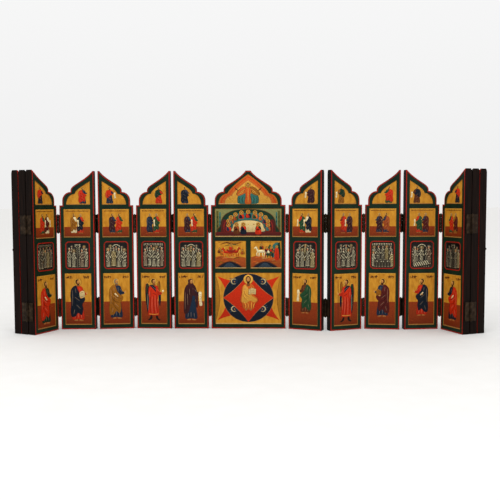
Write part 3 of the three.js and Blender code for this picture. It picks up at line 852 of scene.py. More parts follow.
def flowing(points, closed, parts=4):
    """A smooth curve through a few points."""
    count = len(points)
    spans = count if closed else count - 1
    made = []
    for i in range(spans):
        p = [np.array(points[(i + k) % count if closed else min(max(i + k, 0), count - 1)], float)
             for k in (-1, 0, 1, 2)]
        for j in range(parts):
            t = j / parts
            slope, bend = p[2] - p[0], 2 * p[0] - 5 * p[1] + 4 * p[2] - p[3]
            twist = 3 * p[1] - p[0] - 3 * p[2] + p[3]
            made.append(tuple(0.5 * (2 * p[1] + slope * t + bend * t * t + twist * t ** 3)))
    return made if closed else made + [tuple(points[-1])]


def dab(bm, outline, hue, coat, parts=4):
    """A flat touch of paint inside a closed outline, with painted shade that makes it lighter towards its
    top, as if lit from above. Extruding it comes later.
    """
    points = flowing(outline, True, parts) if parts > 1 else outline
    colours, lifts = bm.verts.layers.float_color["paint"], bm.verts.layers.float["coat"]
    low, high = min(z for x, z in points), max(z for x, z in points)
    body = tone(hue, 1)
    verts = [bm.verts.new((x, 0, z)) for x, z in points]
    for vert in verts:
        vert[colours] = tone(body, 0.82 + 0.36 * (vert.co.z - low) / max(high - low, 0.1))
        vert[lifts] = coat
    bm.faces.new(verts)


def stroke(bm, route, width, hue, coat, parts=4):
    """A brush stroke along a route, full in the middle and thin at its ends."""
    line = flowing(route, False, parts)
    one, two = [], []
    for i, here in enumerate(line):
        along = np.array(line[min(i + 1, len(line) - 1)]) - np.array(line[max(i - 1, 0)])
        across = np.array((-along[1], along[0])) / max(np.linalg.norm(along), 1e-6)
        half_width = width / 2 * (0.3 + 0.7 * math.sin(math.pi * (i + 0.5) / len(line)))
        one.append(tuple(np.array(here) + across * half_width))
        two.append(tuple(np.array(here) - across * half_width))
    dab(bm, one + two[::-1], hue, coat, 1)


def oval(x, z, wide, tall, count=14):
    """The outline of an oval, from its half width and half height."""
    turns = [2 * math.pi * i / count for i in range(count)]
    return [(x + wide * math.cos(a), z + tall * math.sin(a)) for a in turns]


def hoop(bm, x, z, wide, tall, thick, hue, coat):
    """A thin painted ring, as two half rings that meet."""
    for half_turn in (0, math.pi):
        turns = [half_turn + math.pi * i / 12 for i in range(13)]
        outer = [(x + wide * math.cos(a), z + tall * math.sin(a)) for a in turns]
        inside = [(x + (wide - thick) * math.cos(a), z + (tall - thick) * math.sin(a)) for a in turns]
        dab(bm, outer + inside[::-1], hue, coat, 1)


def marks(bm, left, right, z, size, chance, coat=1):
    """A row of small slanting ticks in the place of an inscription."""
    x = left
    while x < right:
        lean, reach = chance.uniform(-0.4, 0.4) * size, chance.uniform(0.6, 1) * size
        stroke(bm, [(x, z), (x + lean, z + reach)], size * 0.22, "ink", coat, 2)
        if chance.random() < 0.5:
            stroke(bm, [(x - size * 0.3, z + reach * 0.6), (x + size * 0.5, z + reach * 0.7)], size * 0.2,
                   "ink", coat, 2)
        x += size * chance.uniform(0.27, 0.45)


def new_picture():
    """An empty mesh for paint, with a colour and a coat for each vertex."""
    bm = bmesh.new()
    bm.verts.layers.float_color.new("paint")
    bm.verts.layers.float.new("coat")
    return bm


def raise_paint(bm):
    """Gives every touch of paint its thickness, so that later coats lie over earlier ones."""
    lifts = bm.verts.layers.float["coat"]
    for vert in bm.verts:
        vert.co.y = FIELD_DEPTH + UNDER
    fresh = bmesh.ops.extrude_face_region(bm, geom=list(bm.faces))["geom"]
    for vert in (g for g in fresh if isinstance(g, bmesh.types.BMVert)):
        vert.co.y = FIELD_DEPTH - COAT * (1 + vert[lifts])
    bmesh.ops.recalc_face_normals(bm, faces=bm.faces)


# Outlines of a figure's clothes and their folds, as shares of its height from its middle and its soles.
FEET = [[(-0.065, 0.03), (-0.02, 0.04), (0.0, 0.012), (-0.04, 0.0), (-0.08, 0.01)],
        [(0.025, 0.035), (0.07, 0.035), (0.115, 0.01), (0.06, 0.0), (0.02, 0.012)]]
TUNIC = [(-0.09, 0.775), (-0.03, 0.825), (0.05, 0.82), (0.095, 0.77), (0.105, 0.62), (0.085, 0.48),
         (0.105, 0.28), (0.13, 0.06), (0.06, 0.035), (0.0, 0.05), (-0.06, 0.035), (-0.12, 0.06),
         (-0.105, 0.28), (-0.09, 0.48), (-0.105, 0.64)]
MANTLE = [(-0.10, 0.79), (-0.06, 0.828), (-0.015, 0.80), (0.015, 0.68), (0.07, 0.60), (0.13, 0.56),
          (0.15, 0.50), (0.115, 0.44), (0.085, 0.39), (0.10, 0.26), (0.065, 0.14), (0.0, 0.19),
          (-0.05, 0.115), (-0.13, 0.10), (-0.16, 0.22), (-0.145, 0.42), (-0.16, 0.58), (-0.145, 0.72)]
VEIL = [(-0.035, 0.972), (0.02, 0.978), (0.055, 0.94), (0.05, 0.86), (0.09, 0.79), (0.125, 0.68),
        (0.19, 0.62), (0.18, 0.575), (0.10, 0.56), (0.03, 0.58), (0.01, 0.46), (-0.015, 0.32),
        (-0.05, 0.20), (-0.10, 0.15), (-0.15, 0.20), (-0.15, 0.45), (-0.14, 0.68), (-0.10, 0.80),
        (-0.06, 0.86), (-0.062, 0.94)]
VEIL_TAIL = [(0.09, 0.60), (0.15, 0.58), (0.15, 0.42), (0.13, 0.30), (0.10, 0.34), (0.095, 0.46)]
ANGEL_TUNIC = [(-0.09, 0.775), (-0.03, 0.825), (0.05, 0.82), (0.095, 0.77), (0.10, 0.62), (0.085, 0.50),
               (0.10, 0.30), (0.11, 0.125), (0.03, 0.115), (-0.05, 0.12), (-0.115, 0.125), (-0.105, 0.30),
               (-0.09, 0.50), (-0.105, 0.64)]
BOOTS = [[(-0.07, 0.13), (-0.035, 0.13), (-0.03, 0.04), (-0.09, 0.0), (-0.12, 0.015), (-0.075, 0.06)],
         [(0.045, 0.13), (0.08, 0.13), (0.09, 0.06), (0.145, 0.005), (0.11, -0.005), (0.05, 0.04)]]
CLOAK = [(-0.10, 0.78), (-0.06, 0.82), (-0.075, 0.60), (-0.085, 0.40), (-0.09, 0.22), (-0.12, 0.17),
         (-0.155, 0.36), (-0.15, 0.60)]
CLOAK_FRONT = [(0.11, 0.63), (0.155, 0.61), (0.155, 0.46), (0.13, 0.34), (0.105, 0.48)]
SCARF = [(-0.06, 0.81), (0.0, 0.815), (0.11, 0.68), (0.15, 0.62), (0.10, 0.60), (0.02, 0.70)]
WING_BACK = [(-0.08, 0.79), (-0.125, 0.875), (-0.175, 0.86), (-0.195, 0.70), (-0.18, 0.50), (-0.155, 0.34),
             (-0.135, 0.52), (-0.12, 0.68)]
WING_FRONT = [(0.07, 0.79), (0.09, 0.89), (0.125, 0.925), (0.15, 0.86), (0.145, 0.74), (0.12, 0.66),
              (0.085, 0.73)]
CAPE = [(-0.10, 0.785), (-0.05, 0.828), (0.05, 0.822), (0.10, 0.77), (0.135, 0.66), (0.11, 0.56),
        (0.03, 0.50), (-0.03, 0.40), (-0.10, 0.36), (-0.15, 0.46), (-0.15, 0.62)]
SLEEVE = [(0.045, 0.75), (0.095, 0.74), (0.14, 0.665), (0.19, 0.665), (0.195, 0.625), (0.12, 0.595),
          (0.06, 0.63)]
SCROLL = [(0.172, 0.655), (0.245, 0.655), (0.24, 0.50), (0.262, 0.36), (0.20, 0.35), (0.188, 0.50)]
MANTLE_FOLDS = [[(-0.10, 0.74), (-0.06, 0.60), (0.02, 0.52), (0.11, 0.50)],
                [(-0.13, 0.60), (-0.04, 0.44), (0.06, 0.40)], [(-0.12, 0.44), (-0.02, 0.28), (0.05, 0.19)],
                [(-0.11, 0.30), (-0.07, 0.14)], [(0.02, 0.66), (-0.04, 0.52), (-0.06, 0.36)]]
MANTLE_LIGHTS = [[(-0.115, 0.72), (-0.11, 0.54), (-0.12, 0.36)], [(-0.06, 0.56), (0.03, 0.475)],
                 [(-0.03, 0.38), (0.045, 0.29)], [(-0.07, 0.27), (-0.09, 0.16)],
                 [(-0.05, 0.76), (-0.04, 0.66)]]
VEIL_FOLDS = [[(-0.10, 0.74), (-0.09, 0.50), (-0.10, 0.22)], [(-0.04, 0.80), (-0.05, 0.60), (-0.04, 0.36)],
              [(0.06, 0.79), (0.08, 0.68), (0.15, 0.60)], [(0.0, 0.76), (0.0, 0.62)]]
VEIL_LIGHTS = [[(-0.12, 0.66), (-0.12, 0.44), (-0.125, 0.26)], [(-0.07, 0.62), (-0.065, 0.36)],
               [(0.04, 0.76), (0.06, 0.66)], [(-0.03, 0.74), (-0.025, 0.60)]]
ANGEL_FOLDS = [[(0.06, 0.60), (0.06, 0.40), (0.08, 0.16)], [(-0.05, 0.72), (-0.06, 0.50), (-0.07, 0.16)],
               [(0.0, 0.58), (0.0, 0.36), (0.02, 0.14)], [(-0.02, 0.64), (0.06, 0.60)]]
ANGEL_LIGHTS = [[(0.03, 0.58), (0.03, 0.36), (0.05, 0.16)], [(-0.03, 0.56), (-0.035, 0.34), (-0.03, 0.15)],
                [(-0.08, 0.68), (-0.075, 0.56)], [(0.08, 0.50), (0.09, 0.28)]]
TUNIC_FOLDS = [[(0.06, 0.78), (0.055, 0.64), (0.07, 0.58)], [(0.02, 0.74), (0.01, 0.60)],
               [(0.03, 0.20), (0.045, 0.05)], [(-0.03, 0.20), (-0.045, 0.05)],
               [(0.075, 0.24), (0.095, 0.07)], [(-0.07, 0.22), (-0.09, 0.07)]]
TUNIC_LIGHTS = [[(0.04, 0.77), (0.04, 0.66)], [(0.085, 0.74), (0.085, 0.63)], [(0.06, 0.17), (0.07, 0.07)],
                [(0.0, 0.19), (0.0, 0.08)], [(-0.055, 0.17), (-0.065, 0.07)]]
BEARDS = {"full": [(-0.024, 0.895), (-0.014, 0.845), (0.012, 0.815), (0.036, 0.845), (0.05, 0.89),
                   (0.034, 0.872), (0.014, 0.866), (-0.006, 0.874)],
          "short": [(-0.022, 0.89), (-0.01, 0.855), (0.013, 0.842), (0.035, 0.855), (0.047, 0.888),
                    (0.03, 0.874), (0.0, 0.872)]}


def robed_figure(bm, x, foot, tall, facing, tunic, mantle, holds="", hair="hair", beard="full",
                 dress="mantle", stout=1):
    """A calm standing figure seen a little from the side, of one height, turned to the left or right."""
    def at(points):
        made = []
        for u, v in points:
            wider = stout * (1 + GIRTH * max(0, 1 - (u / 0.2) ** 2)) if v < 0.82 else 1
            made.append((x + facing * u * tall * wider, foot + v * tall))
        return made

    def lay(points, hue, coat, parts=4):
        dab(bm, at(points), hue, coat, parts)

    def draw(routes, width, hue, coat):
        for route in routes:
            stroke(bm, at(route), width * tall, hue, coat, 3)

    def edged(points, hue, coat):
        lay([(u + 0.006 * math.copysign(1, u), v) for u, v in points], tone(hue, 0.35), coat - 0.4)
        lay(points, hue, coat)

    angel, veiled = dress == "winged", dress == "veil"
    lay(oval(0.0, 0.905, 0.088, 0.088), "halo", 1, 2)
    hoop(bm, x, foot + 0.905 * tall, 0.09 * tall, 0.09 * tall, 0.006 * tall, "ring", 2)
    if angel:
        edged(WING_BACK, "pine", 2)
        edged(WING_FRONT, "ochre", 2)
        draw([WING_BACK[1:5], WING_BACK[5:8]], 0.018, "rust", 3)
        draw([WING_FRONT[1:5]], 0.022, "umber", 3)
        draw([WING_FRONT[0:3], WING_BACK[0:3]], 0.014, "gold", 3.2)
        edged(CLOAK, mantle, 3)
        draw([[(-0.12, 0.62), (-0.125, 0.40), (-0.11, 0.22)]], 0.016, lit("teal"), 3.6)
    for shoe in (BOOTS if angel else FEET):
        lay(shoe, "black" if angel else "flesh", 3, 3)
    edged(ANGEL_TUNIC if angel else TUNIC, tunic, 4)
    draw(TUNIC_FOLDS if not angel else ANGEL_FOLDS, 0.014, tone(tunic, 0.35), 5)
    draw(TUNIC_LIGHTS if not angel else ANGEL_LIGHTS, 0.016, lit(tunic), 5.5)
    if angel:
        edged(CLOAK_FRONT, mantle, 6)
        edged(SCARF, mantle, 6.4)
        draw([[(-0.03, 0.795), (0.05, 0.72), (0.12, 0.625)]], 0.014, lit("blue"), 7)
        draw([[(-0.10, 0.15), (0.0, 0.138), (0.10, 0.15)]], 0.016, "gold", 5.8)
    else:
        edged({"veil": VEIL, "cape": CAPE}.get(dress, MANTLE), mantle, 6)
        last = 3 if dress == "cape" else 5
        draw(VEIL_FOLDS if veiled else MANTLE_FOLDS[:last], 0.014, tone(mantle, 0.35), 7)
        draw(VEIL_LIGHTS if veiled else MANTLE_LIGHTS[:last], 0.017, lit(mantle), 7.5)
    if veiled:
        edged(VEIL_TAIL, mantle, 6.2)
        draw([[VEIL[19], VEIL[0], VEIL[1], VEIL[2], VEIL[3]]], 0.008, "gold", 7.8)
    else:
        lay([(-0.02, 0.81), (-0.016, 0.86), (0.032, 0.86), (0.034, 0.81)], tone("flesh", 0.6), 6, 2)
        lay(oval(-0.004, 0.918, 0.048, 0.058), hair, 7.2, 2)
    lay(oval(0.013, 0.905, 0.036, 0.049), "flesh", 7.9, 2)
    lay(oval(0.018, 0.915, 0.026, 0.036), "glow", 8.4, 2)
    if beard in BEARDS and not (angel or veiled):
        lay(BEARDS[beard], hair, 9)
    draw([[(0.0, 0.922), (0.012, 0.925)], [(0.025, 0.925), (0.037, 0.922)]], 0.006, "hair", 9.4)
    draw([[(0.003, 0.912), (0.011, 0.911)], [(0.027, 0.911), (0.035, 0.912)]], 0.008, "hair", 9.4)
    draw([[(0.019, 0.916), (0.024, 0.894), (0.017, 0.892)], [(0.01, 0.88), (0.027, 0.88)]], 0.005, "umber",
         9.4)
    edged(SLEEVE, mantle if veiled else tunic, 8)
    draw([[(0.07, 0.70), (0.12, 0.64), (0.18, 0.645)]], 0.01, tone(tunic, 0.45), 8.6)
    draw([[(0.08, 0.725), (0.13, 0.662)]], 0.013, lit(tunic), 8.6)
    lay(oval(0.205, 0.648, 0.02, 0.019), "glow", 8.8, 2)
    draw([[(0.205, 0.655), (0.222, 0.69)], [(0.212, 0.65), (0.234, 0.672)]], 0.01, "glow", 9)
    if holds == "scroll":
        edged(SCROLL, "white", 9.2)
        draw([[(0.20, v), (0.238, v)] for v in (0.60, 0.56, 0.52, 0.48, 0.44)], 0.008, "rust", 10)
    if holds in ("book", "open_book"):
        edged([(0.035, 0.67), (0.125, 0.70), (0.14, 0.57), (0.05, 0.54)],
              "ochre" if holds == "book" else "linen", 9.2)
        draw([[(0.05, 0.655), (0.115, 0.676)], [(0.058, 0.565), (0.125, 0.588)]], 0.008, "umber", 10)
        lay(oval(0.065, 0.545, 0.022, 0.016), "glow", 10.2, 2)
    if holds == "roll":
        edged([(-0.03, 0.61), (-0.015, 0.625), (0.035, 0.56), (0.02, 0.545)], "white", 9.2)
        lay(oval(0.0, 0.57, 0.02, 0.018), "glow", 10, 2)
    if holds == "staff":
        draw([[(0.212, 0.02), (0.21, 0.5), (0.214, 1.0)]], 0.014, "umber", 8.7)
        lay(oval(0.214, 1.0, 0.018, 0.018), "gold", 9, 2)
    if holds == "orb":
        lay(oval(0.222, 0.69, 0.024, 0.024), "white", 9.2, 2)
        draw([[(-0.19, 0.62), (-0.13, 0.82), (-0.08, 1.02)]], 0.012, "umber", 2.6)


# Tempera: colour laid in broken brush marks under a thin uneven varnish. The marks are drawn coarser
# than real ones, so that they show.
BRUSH_MARK, TOUCH_STRETCH = 0.8, 0.35
tempera, tree, shader, where = new_material("egg_tempera")
pigment = node(tree, "Attribute", attribute_name="paint").outputs["Color"]
brushed = node(tree, "Mapping", {"Vector": where, "Scale": (1, 1, TOUCH_STRETCH)}).outputs[0]
brush = noise(tree, brushed, BRUSH_MARK, 4.0)
strength = ranged(tree, brush, 0.3, 0.7, 0.72, 1.24)
fill(tree, shader, {"Base Color": mixed(tree, 1.0, pigment, strength, "MULTIPLY"),
                    "Roughness": ranged(tree, brush, 0.0, 1.0, 0.42, 0.62), "Specular IOR Level": 0.08,
                    "Normal": bumped(tree, brush, 0.15, 0.05)})


def field_ground(bm, left, right, low, high, earth_top, chance):
    """Brown earth below the gold, a pale line inside the field's edge and a few stones."""
    left, right, low, high = left + PAINT_GAP, right - PAINT_GAP, low + PAINT_GAP, high - PAINT_GAP
    dab(bm, rectangle(left, right, low, earth_top), "earth", 0, 1)
    dab(bm, rectangle(left, right, low, low + (earth_top - low) * 0.4), "loam", 0.3, 1)
    for i in range(9):
        x, z = chance.uniform(left + 2, right - 8), chance.uniform(low + 2, earth_top - 1.5)
        stroke(bm, [(x, z), (x + 3, z + 0.3), (x + 6, z)], 0.7, "rust" if i % 2 else "loam", 0.6, 2)
    dab(bm, rectangle(left, right, low, low + 0.8), "tan", 0.8, 1)
    dab(bm, rectangle(left, right, high - 0.8, high), "sun", 0.7, 1)


# Each leaf's figures: the one in the arch, the two above the plaque, and the large one, as tunic, mantle
# and what they hold, then the dress of the first, and the hair, beard and dress of the last.
LEAF_FIGURES = {
    "left_leaf_1": [("blue", "night", "", "mantle"), ("blue", "plum", "scroll"), ("green", "cinnabar", ""),
                    ("blue", "plum", "scroll", "hair", "", "veil")],
    "left_leaf_2": [("cinnabar", "pine", "", "cape"), ("night", "blue", "scroll"),
                    ("cinnabar", "green", ""), ("cinnabar", "night", "orb", "hair", "", "winged")],
    "left_leaf_3": [("blue", "cinnabar", "scroll", "cape"), ("blue", "plum", ""), ("green", "cinnabar", ""),
                    ("blue", "ochre", "roll", "grey", "short", "mantle")],
    "left_leaf_4": [("blue", "cinnabar", "", "mantle"), ("white", "ochre", "scroll"),
                    ("cinnabar", "night", ""),
                    ("cinnabar", "night", "open_book", "hair", "short", "mantle")],
    "left_leaf_5": [("night", "cinnabar", "", "cape"), ("green", "cinnabar", "scroll"),
                    ("white", "maroon", "scroll"), ("pine", "cinnabar", "roll", "hair", "full", "mantle")],
    "left_leaf_6": [("ochre", "blue", "", "mantle"), ("cinnabar", "green", ""), ("blue", "ochre", "scroll"),
                    ("green", "maroon", "book", "grey", "full", "mantle")],
    "left_leaf_7": [("green", "plum", "", "cape"), ("ochre", "maroon", "scroll"), ("cinnabar", "blue", ""),
                    ("ochre", "green", "roll", "hair", "short", "mantle")],
    "right_leaf_1": [("plum", "plum", "scroll", "mantle"), ("cinnabar", "green", "scroll"),
                     ("white", "night", "scroll"), ("umber", "green", "scroll", "hair", "full", "mantle")],
    "right_leaf_2": [("ochre", "pine", "scroll", "cape"), ("madder", "cinnabar", ""),
                     ("blue", "plum", "scroll"), ("cinnabar", "night", "staff", "hair", "", "winged")],
    "right_leaf_3": [("green", "cinnabar", "", "mantle"), ("blue", "plum", ""), ("blue", "rust", ""),
                     ("blue", "maroon", "book", "hair", "full", "mantle")],
    "right_leaf_4": [("umber", "night", "scroll", "cape"), ("cinnabar", "green", "scroll"),
                     ("blue", "maroon", ""), ("cinnabar", "night", "roll", "hair", "short", "mantle")],
    "right_leaf_5": [("night", "cinnabar", "", "cape"), ("green", "cinnabar", ""), ("ochre", "maroon", ""),
                     ("night", "cinnabar", "roll", "hair", "full", "mantle")],
    "right_leaf_6": [("green", "ochre", "", "cape"), ("blue", "cinnabar", "scroll"), ("ochre", "green", ""),
                     ("cinnabar", "blue", "book", "grey", "full", "mantle")],
    "right_leaf_7": [("blue", "maroon", "", "mantle"), ("green", "ochre", ""),
                     ("cinnabar", "plum", "scroll"),
                     ("maroon", "ochre", "roll", "grey", "short", "mantle")],
}
EARTH_IN_FULL, EARTH_IN_UPPER = 55.5, 206
LARGE_FOOT, LARGE_TOP, UPPER_FIGURE, ARCH_FIGURE = 16.5, 103, (193, 40), (251.2, 34)
HIGHER_FEET = {"left_leaf_3": 20, "right_leaf_1": 33, "right_leaf_3": 25, "right_leaf_4": 27,
               "right_leaf_5": 22}
PAIR_SPACING, ARCH_FIGURE_OUT, ARCH_STOUT, ARCH_LINE = 13.4, 11.5, 1.4, 0.7
LABEL_LEVEL, LABEL_SIZE, LABEL_PLACES = 102.2, 6.4, ((3.5, 16), (39, 49.5))
CAPTION_LEVEL, CAPTION_SIZE, CAPTION_MARGIN = 236.4, 2.4, 4
edge_x = LEAF_WIDTH / 2 - SIDE_MARGIN

for name, side, number in leaf_names:
    chance = random.Random(f"picture {name}")
    bm = new_picture()
    arch_one, first, second, large = LEAF_FIGURES[name]
    peak_side = side if number % 2 else -side
    field_ground(bm, -edge_x, edge_x, *FULL_FIELD, EARTH_IN_FULL, chance)
    field_ground(bm, -edge_x, edge_x, *UPPER_FIELD, EARTH_IN_UPPER, chance)
    foot = ARCH_FIELD_LOW + EDGE_CLEAR
    dab(bm, rectangle(-edge_x + EDGE_CLEAR, edge_x - EDGE_CLEAR, foot, foot + ARCH_LINE), "tan", 0.8, 1)
    foot = HIGHER_FEET.get(name, LARGE_FOOT)
    robed_figure(bm, side, foot, LARGE_TOP - foot, -side, *large)
    for i, (tunic, mantle, holds) in enumerate((first, second)):
        robed_figure(bm, (i - 0.5) * PAIR_SPACING, *UPPER_FIGURE, -side, tunic, mantle, holds,
                     "grey" if chance.random() < 0.4 else "hair", chance.choice(["full", "short"]))
    robed_figure(bm, peak_side * ARCH_FIGURE_OUT, *ARCH_FIGURE, -side, *arch_one[:3], "hair", "short",
                 arch_one[3], ARCH_STOUT)
    for start, stop in LABEL_PLACES:
        marks(bm, start - edge_x, stop - edge_x, LABEL_LEVEL, LABEL_SIZE, chance)
    marks(bm, CAPTION_MARGIN - edge_x, edge_x - CAPTION_MARGIN, CAPTION_LEVEL, CAPTION_SIZE, chance)
    raise_paint(bm)
    bm.transform(board_places[name] @ Matrix.Scale(MM, 4))
    ride(add_object(name + "_pictures", bm, [tempera]), name, "painted_board")

# Pictures on the centre panel: the same tempera on gold. Below, a seated figure in a red diamond on a dark
# blue disc and a red star. Above it two scenes with horses, a supper round a table, and a winged figure.
def sided(points, sx):
    """Points given for the right half, or mirrored to the left where sx is -1."""
    return [(sx * x, z) for x, z in points]


def bowed(corners, centre, pull, parts=10):
    """An outline through corners, with each side drawn in towards the centre."""
    made = []
    for one, two in zip(corners, corners[1:] + corners[:1]):
        one, two = np.array(one, float), np.array(two, float)
        bend = (one + two) / 2
        bend = bend + (np.array(centre, float) - bend) * pull
        for i in range(parts):
            t = i / parts
            made.append(tuple((1 - t) ** 2 * one + 2 * t * (1 - t) * bend + t * t * two))
    return made


def frame_line(bm, left, right, low):
    """The pale line along the foot of a field."""
    left, right, low = left + PAINT_GAP, right - PAINT_GAP, low + PAINT_GAP
    dab(bm, rectangle(left, right, low, low + PALE_LINE), "cream", 4, 1)


def small_head(bm, x, z, size, coat, halo=True):
    """A head the size of a bead, with its halo, hair and a plain face."""
    if halo:
        dab(bm, oval(x, z, size * 1.75, size * 1.75), "halo", coat, 2)
        hoop(bm, x, z, size * 1.8, size * 1.8, size * 0.22, "ring", coat + 0.4)
    dab(bm, oval(x, z + size * 0.1, size * 0.98, size * 1.15), "hair", coat + 0.8, 2)
    dab(bm, oval(x, z - size * 0.05, size * 0.68, size * 0.9), "flesh", coat + 1.2, 2)
    dab(bm, oval(x, z + size * 0.1, size * 0.5, size * 0.6), "glow", coat + 1.5, 2)
    for eye in (-0.3, 0.3):
        dab(bm, oval(x + eye * size, z + size * 0.12, size * 0.14, size * 0.1, 6), "hair", coat + 1.8, 1)


def bust(bm, x, z, size, robe, wrap, coat, halo=True):
    """A figure seen to the waist or sitting, with a wrap over one shoulder."""
    body = [(x - size * 1.7, z - size * 4.6), (x - size * 1.9, z - size * 2.4),
            (x - size * 1.1, z - size * 1.1), (x + size * 1.1, z - size * 1.1),
            (x + size * 1.9, z - size * 2.4), (x + size * 1.7, z - size * 4.6)]
    dab(bm, [(px + 0.12 * (px - x), pz) for px, pz in body], tone(robe, 0.35), coat - 0.3)
    dab(bm, body, robe, coat)
    fall = [(x - size * 1.5, z - size * 4.4), (x - size * 1.7, z - size * 2.4),
            (x - size * 0.7, z - size * 1.3), (x - size * 0.1, z - size * 2.2),
            (x + size * 0.9, z - size * 3.4), (x + size * 0.6, z - size * 4.5)]
    dab(bm, fall, wrap, coat + 0.4)
    stroke(bm, [fall[1], (x, z - size * 3.2), fall[5]], size * 0.35, tone(wrap, 0.45), coat + 0.7, 2)
    stroke(bm, [(x + size * 1.2, z - size * 1.8), (x + size * 1.3, z - size * 4)], size * 0.3,
           tone(robe, 1.9), coat + 0.5, 2)
    stroke(bm, [fall[2], (x - size * 1.1, z - size * 3.8)], size * 0.3, tone(wrap, 1.9), coat + 0.8, 2)
    small_head(bm, x, z, size, coat + 1, halo)


def horse(bm, x, z, size, facing, hue, coat):
    """A walking horse, from its chest to its tail about two and a half sizes long."""
    def at(points):
        return [(x + facing * u * size, z + v * size) for u, v in points]

    for leg in ([(0.8, 0.1), (1.05, -0.6), (0.9, -1.3)], [(0.5, 0), (0.35, -0.7), (0.5, -1.35)],
                [(-0.7, 0), (-0.55, -0.7), (-0.75, -1.35)], [(-0.95, 0.1), (-1.2, -0.6), (-1.1, -1.3)]):
        stroke(bm, at(leg), size * 0.26, hue, coat, 3)
    body = [(-1.1, 0.35), (-0.5, 0.5), (0.4, 0.45), (0.8, 0.7), (1.15, 1.35), (1.35, 1.4), (1.75, 1.05),
            (1.65, 0.9), (1.3, 1.0), (1.1, 0.4), (0.85, -0.05), (0.2, -0.2), (-0.6, -0.15), (-1.15, -0.1)]
    dab(bm, [(px, pz - 0.1 * size) for px, pz in at(body)], tone(hue, 0.4), coat + 0.2)
    dab(bm, at(body), hue, coat + 0.5)
    stroke(bm, at([(0.6, 0.65), (0.95, 1.1), (1.2, 1.5)]), size * 0.2, tone(hue, 0.45), coat + 0.9, 3)
    stroke(bm, at([(-1.1, 0.25), (-1.5, 0.1), (-1.55, -0.6)]), size * 0.22, tone(hue, 0.6), coat + 0.3, 3)
    stroke(bm, at([(-0.6, 0.3), (0, 0.3), (0.5, 0.25)]), size * 0.16, tone(hue, 1.7), coat + 0.9, 3)


inner_edge = CENTRE_WIDTH / 2 - SIDE_MARGIN
chance = random.Random("picture centre")
bm = new_picture()

# Seated figure in a diamond, on a disc and a four-pointed star
STAR_CENTRE, DISC_WIDE, DISC_TALL = (0, 62.3), 50.8, 49.3
STAR_TIPS = [(-62.5, 17), (62.5, 17), (62.5, 106), (-62.5, 106)]
dab(bm, bowed(STAR_TIPS, STAR_CENTRE, 0.62), "cinnabar", 1, 1)
for sx in (-1, 1):
    dusk = sided([(65.4, 103), (60, 86), (57.5, 62), (60, 38), (65.4, 20)], sx)
    dab(bm, dusk, "dusk", 0.3)
    stroke(bm, dusk, 0.7, "umber", 0.6)
dab(bm, oval(*STAR_CENTRE, DISC_WIDE, DISC_TALL, 40), "night", 1.5, 2)
hoop(bm, *STAR_CENTRE, DISC_WIDE + 0.2, DISC_TALL + 0.2, 0.5, "tan", 1.8)
for sx, sz in ((-1, 1), (1, 1), (-1, -1), (1, -1)):
    x, z = sx * 28.5, STAR_CENTRE[1] + (33 if sz > 0 else -22.5)
    dab(bm, oval(x, z, 7.4, 6.6), "blue", 1.9, 2)
    curl = [(x + 5.6 * math.cos(a), z + 5.2 * math.sin(a))
            for a in np.linspace(-2.2, 2.2, 7) + (math.pi if sx < 0 else 0)]
    stroke(bm, curl, 1.9, "linen", 2.4)
    small_head(bm, x - sx * 0.6, z - 0.4, 1.5, 2.4, False)
    for i in range(4):
        a = sx * (0.7 + 0.55 * i)
        stroke(bm, [(x + 7 * math.sin(a), z - sz * 7 * math.cos(a)),
                    (x + 10.5 * math.sin(a + 0.3), z - sz * 10 * math.cos(a))], 1.1, "steel", 2.3, 3)
tips = [(0, STAR_CENTRE[1] - DISC_TALL), (DISC_WIDE, STAR_CENTRE[1]), (0, STAR_CENTRE[1] + DISC_TALL),
        (-DISC_WIDE, STAR_CENTRE[1])]
dab(bm, bowed([(x * 1.012, z) for x, z in tips], STAR_CENTRE, 0.20), "tan", 2.6, 1)
dab(bm, bowed(tips, STAR_CENTRE, 0.22), "cinnabar", 3, 1)
HEAD_AT = (-0.2, 99.5)
dab(bm, oval(*HEAD_AT, 9.6, 9.6, 20), "sun", 4, 2)
hoop(bm, *HEAD_AT, 10, 10, 0.6, "ring", 4.3)
robe = [(-5, 90.8), (5, 90.8), (11.5, 85.3), (13, 76.3), (11.5, 68.3), (18, 61.3), (18.5, 55.3), (13, 50.3),
        (11.5, 44.3), (8, 39.3), (-7, 39.3), (-11.5, 43.3), (-12.5, 50.3), (-16, 56.3), (-15, 64.3),
        (-13, 72.3), (-13.5, 80.3), (-11, 86.3)]
dab(bm, [(x * 1.06, z) for x, z in robe], "umber", 4.4)
dab(bm, robe, "orange", 5)
over = [(-9, 87.3), (-4, 86.3), (1, 78.3), (5, 68.3), (17, 59.3), (12, 53.3), (3, 56.3), (-5, 51.3),
        (-13, 54.3), (-13, 64.3), (-11.5, 76.3)]
dab(bm, over, "gold", 5.5)
FOLD_ROUTES = [[(-9, 82.3), (-7, 70.3), (1, 64.3)], [(-11, 68.3), (-5, 59.3), (6, 59.3)],
               [(-10, 54.3), (-7, 46.3), (-8, 41.3)], [(-3, 52.3), (-2, 46.3), (-3, 40.3)],
               [(5, 54.3), (4, 46.3), (5, 40.3)], [(11, 52.3), (9, 46.3), (9, 41.3)],
               [(4, 84.3), (7, 80.3), (9, 82.3)]]
for route in FOLD_ROUTES:
    stroke(bm, route, 0.9, "rust", 6)
    stroke(bm, [(x + 1.6, z) for x, z in route], 1.0, tone("gold", 1.4), 6.2)
for sx in (-1, 1):
    dab(bm, sided([(2.5, 40.3), (5, 40.8), (7.5, 37.3), (3, 36.7)], sx), "flesh", 6)
dab(bm, [(-3.2, 86.3), (-2.6, 93.3), (2.4, 93.3), (3, 86.3)], tone("flesh", 0.6), 5.8, 2)
dab(bm, oval(-0.2, 99.7, 5.2, 6.7), "hair", 6, 2)
dab(bm, oval(-0.2, 98.7, 3.9, 5.6), "flesh", 6.5, 2)
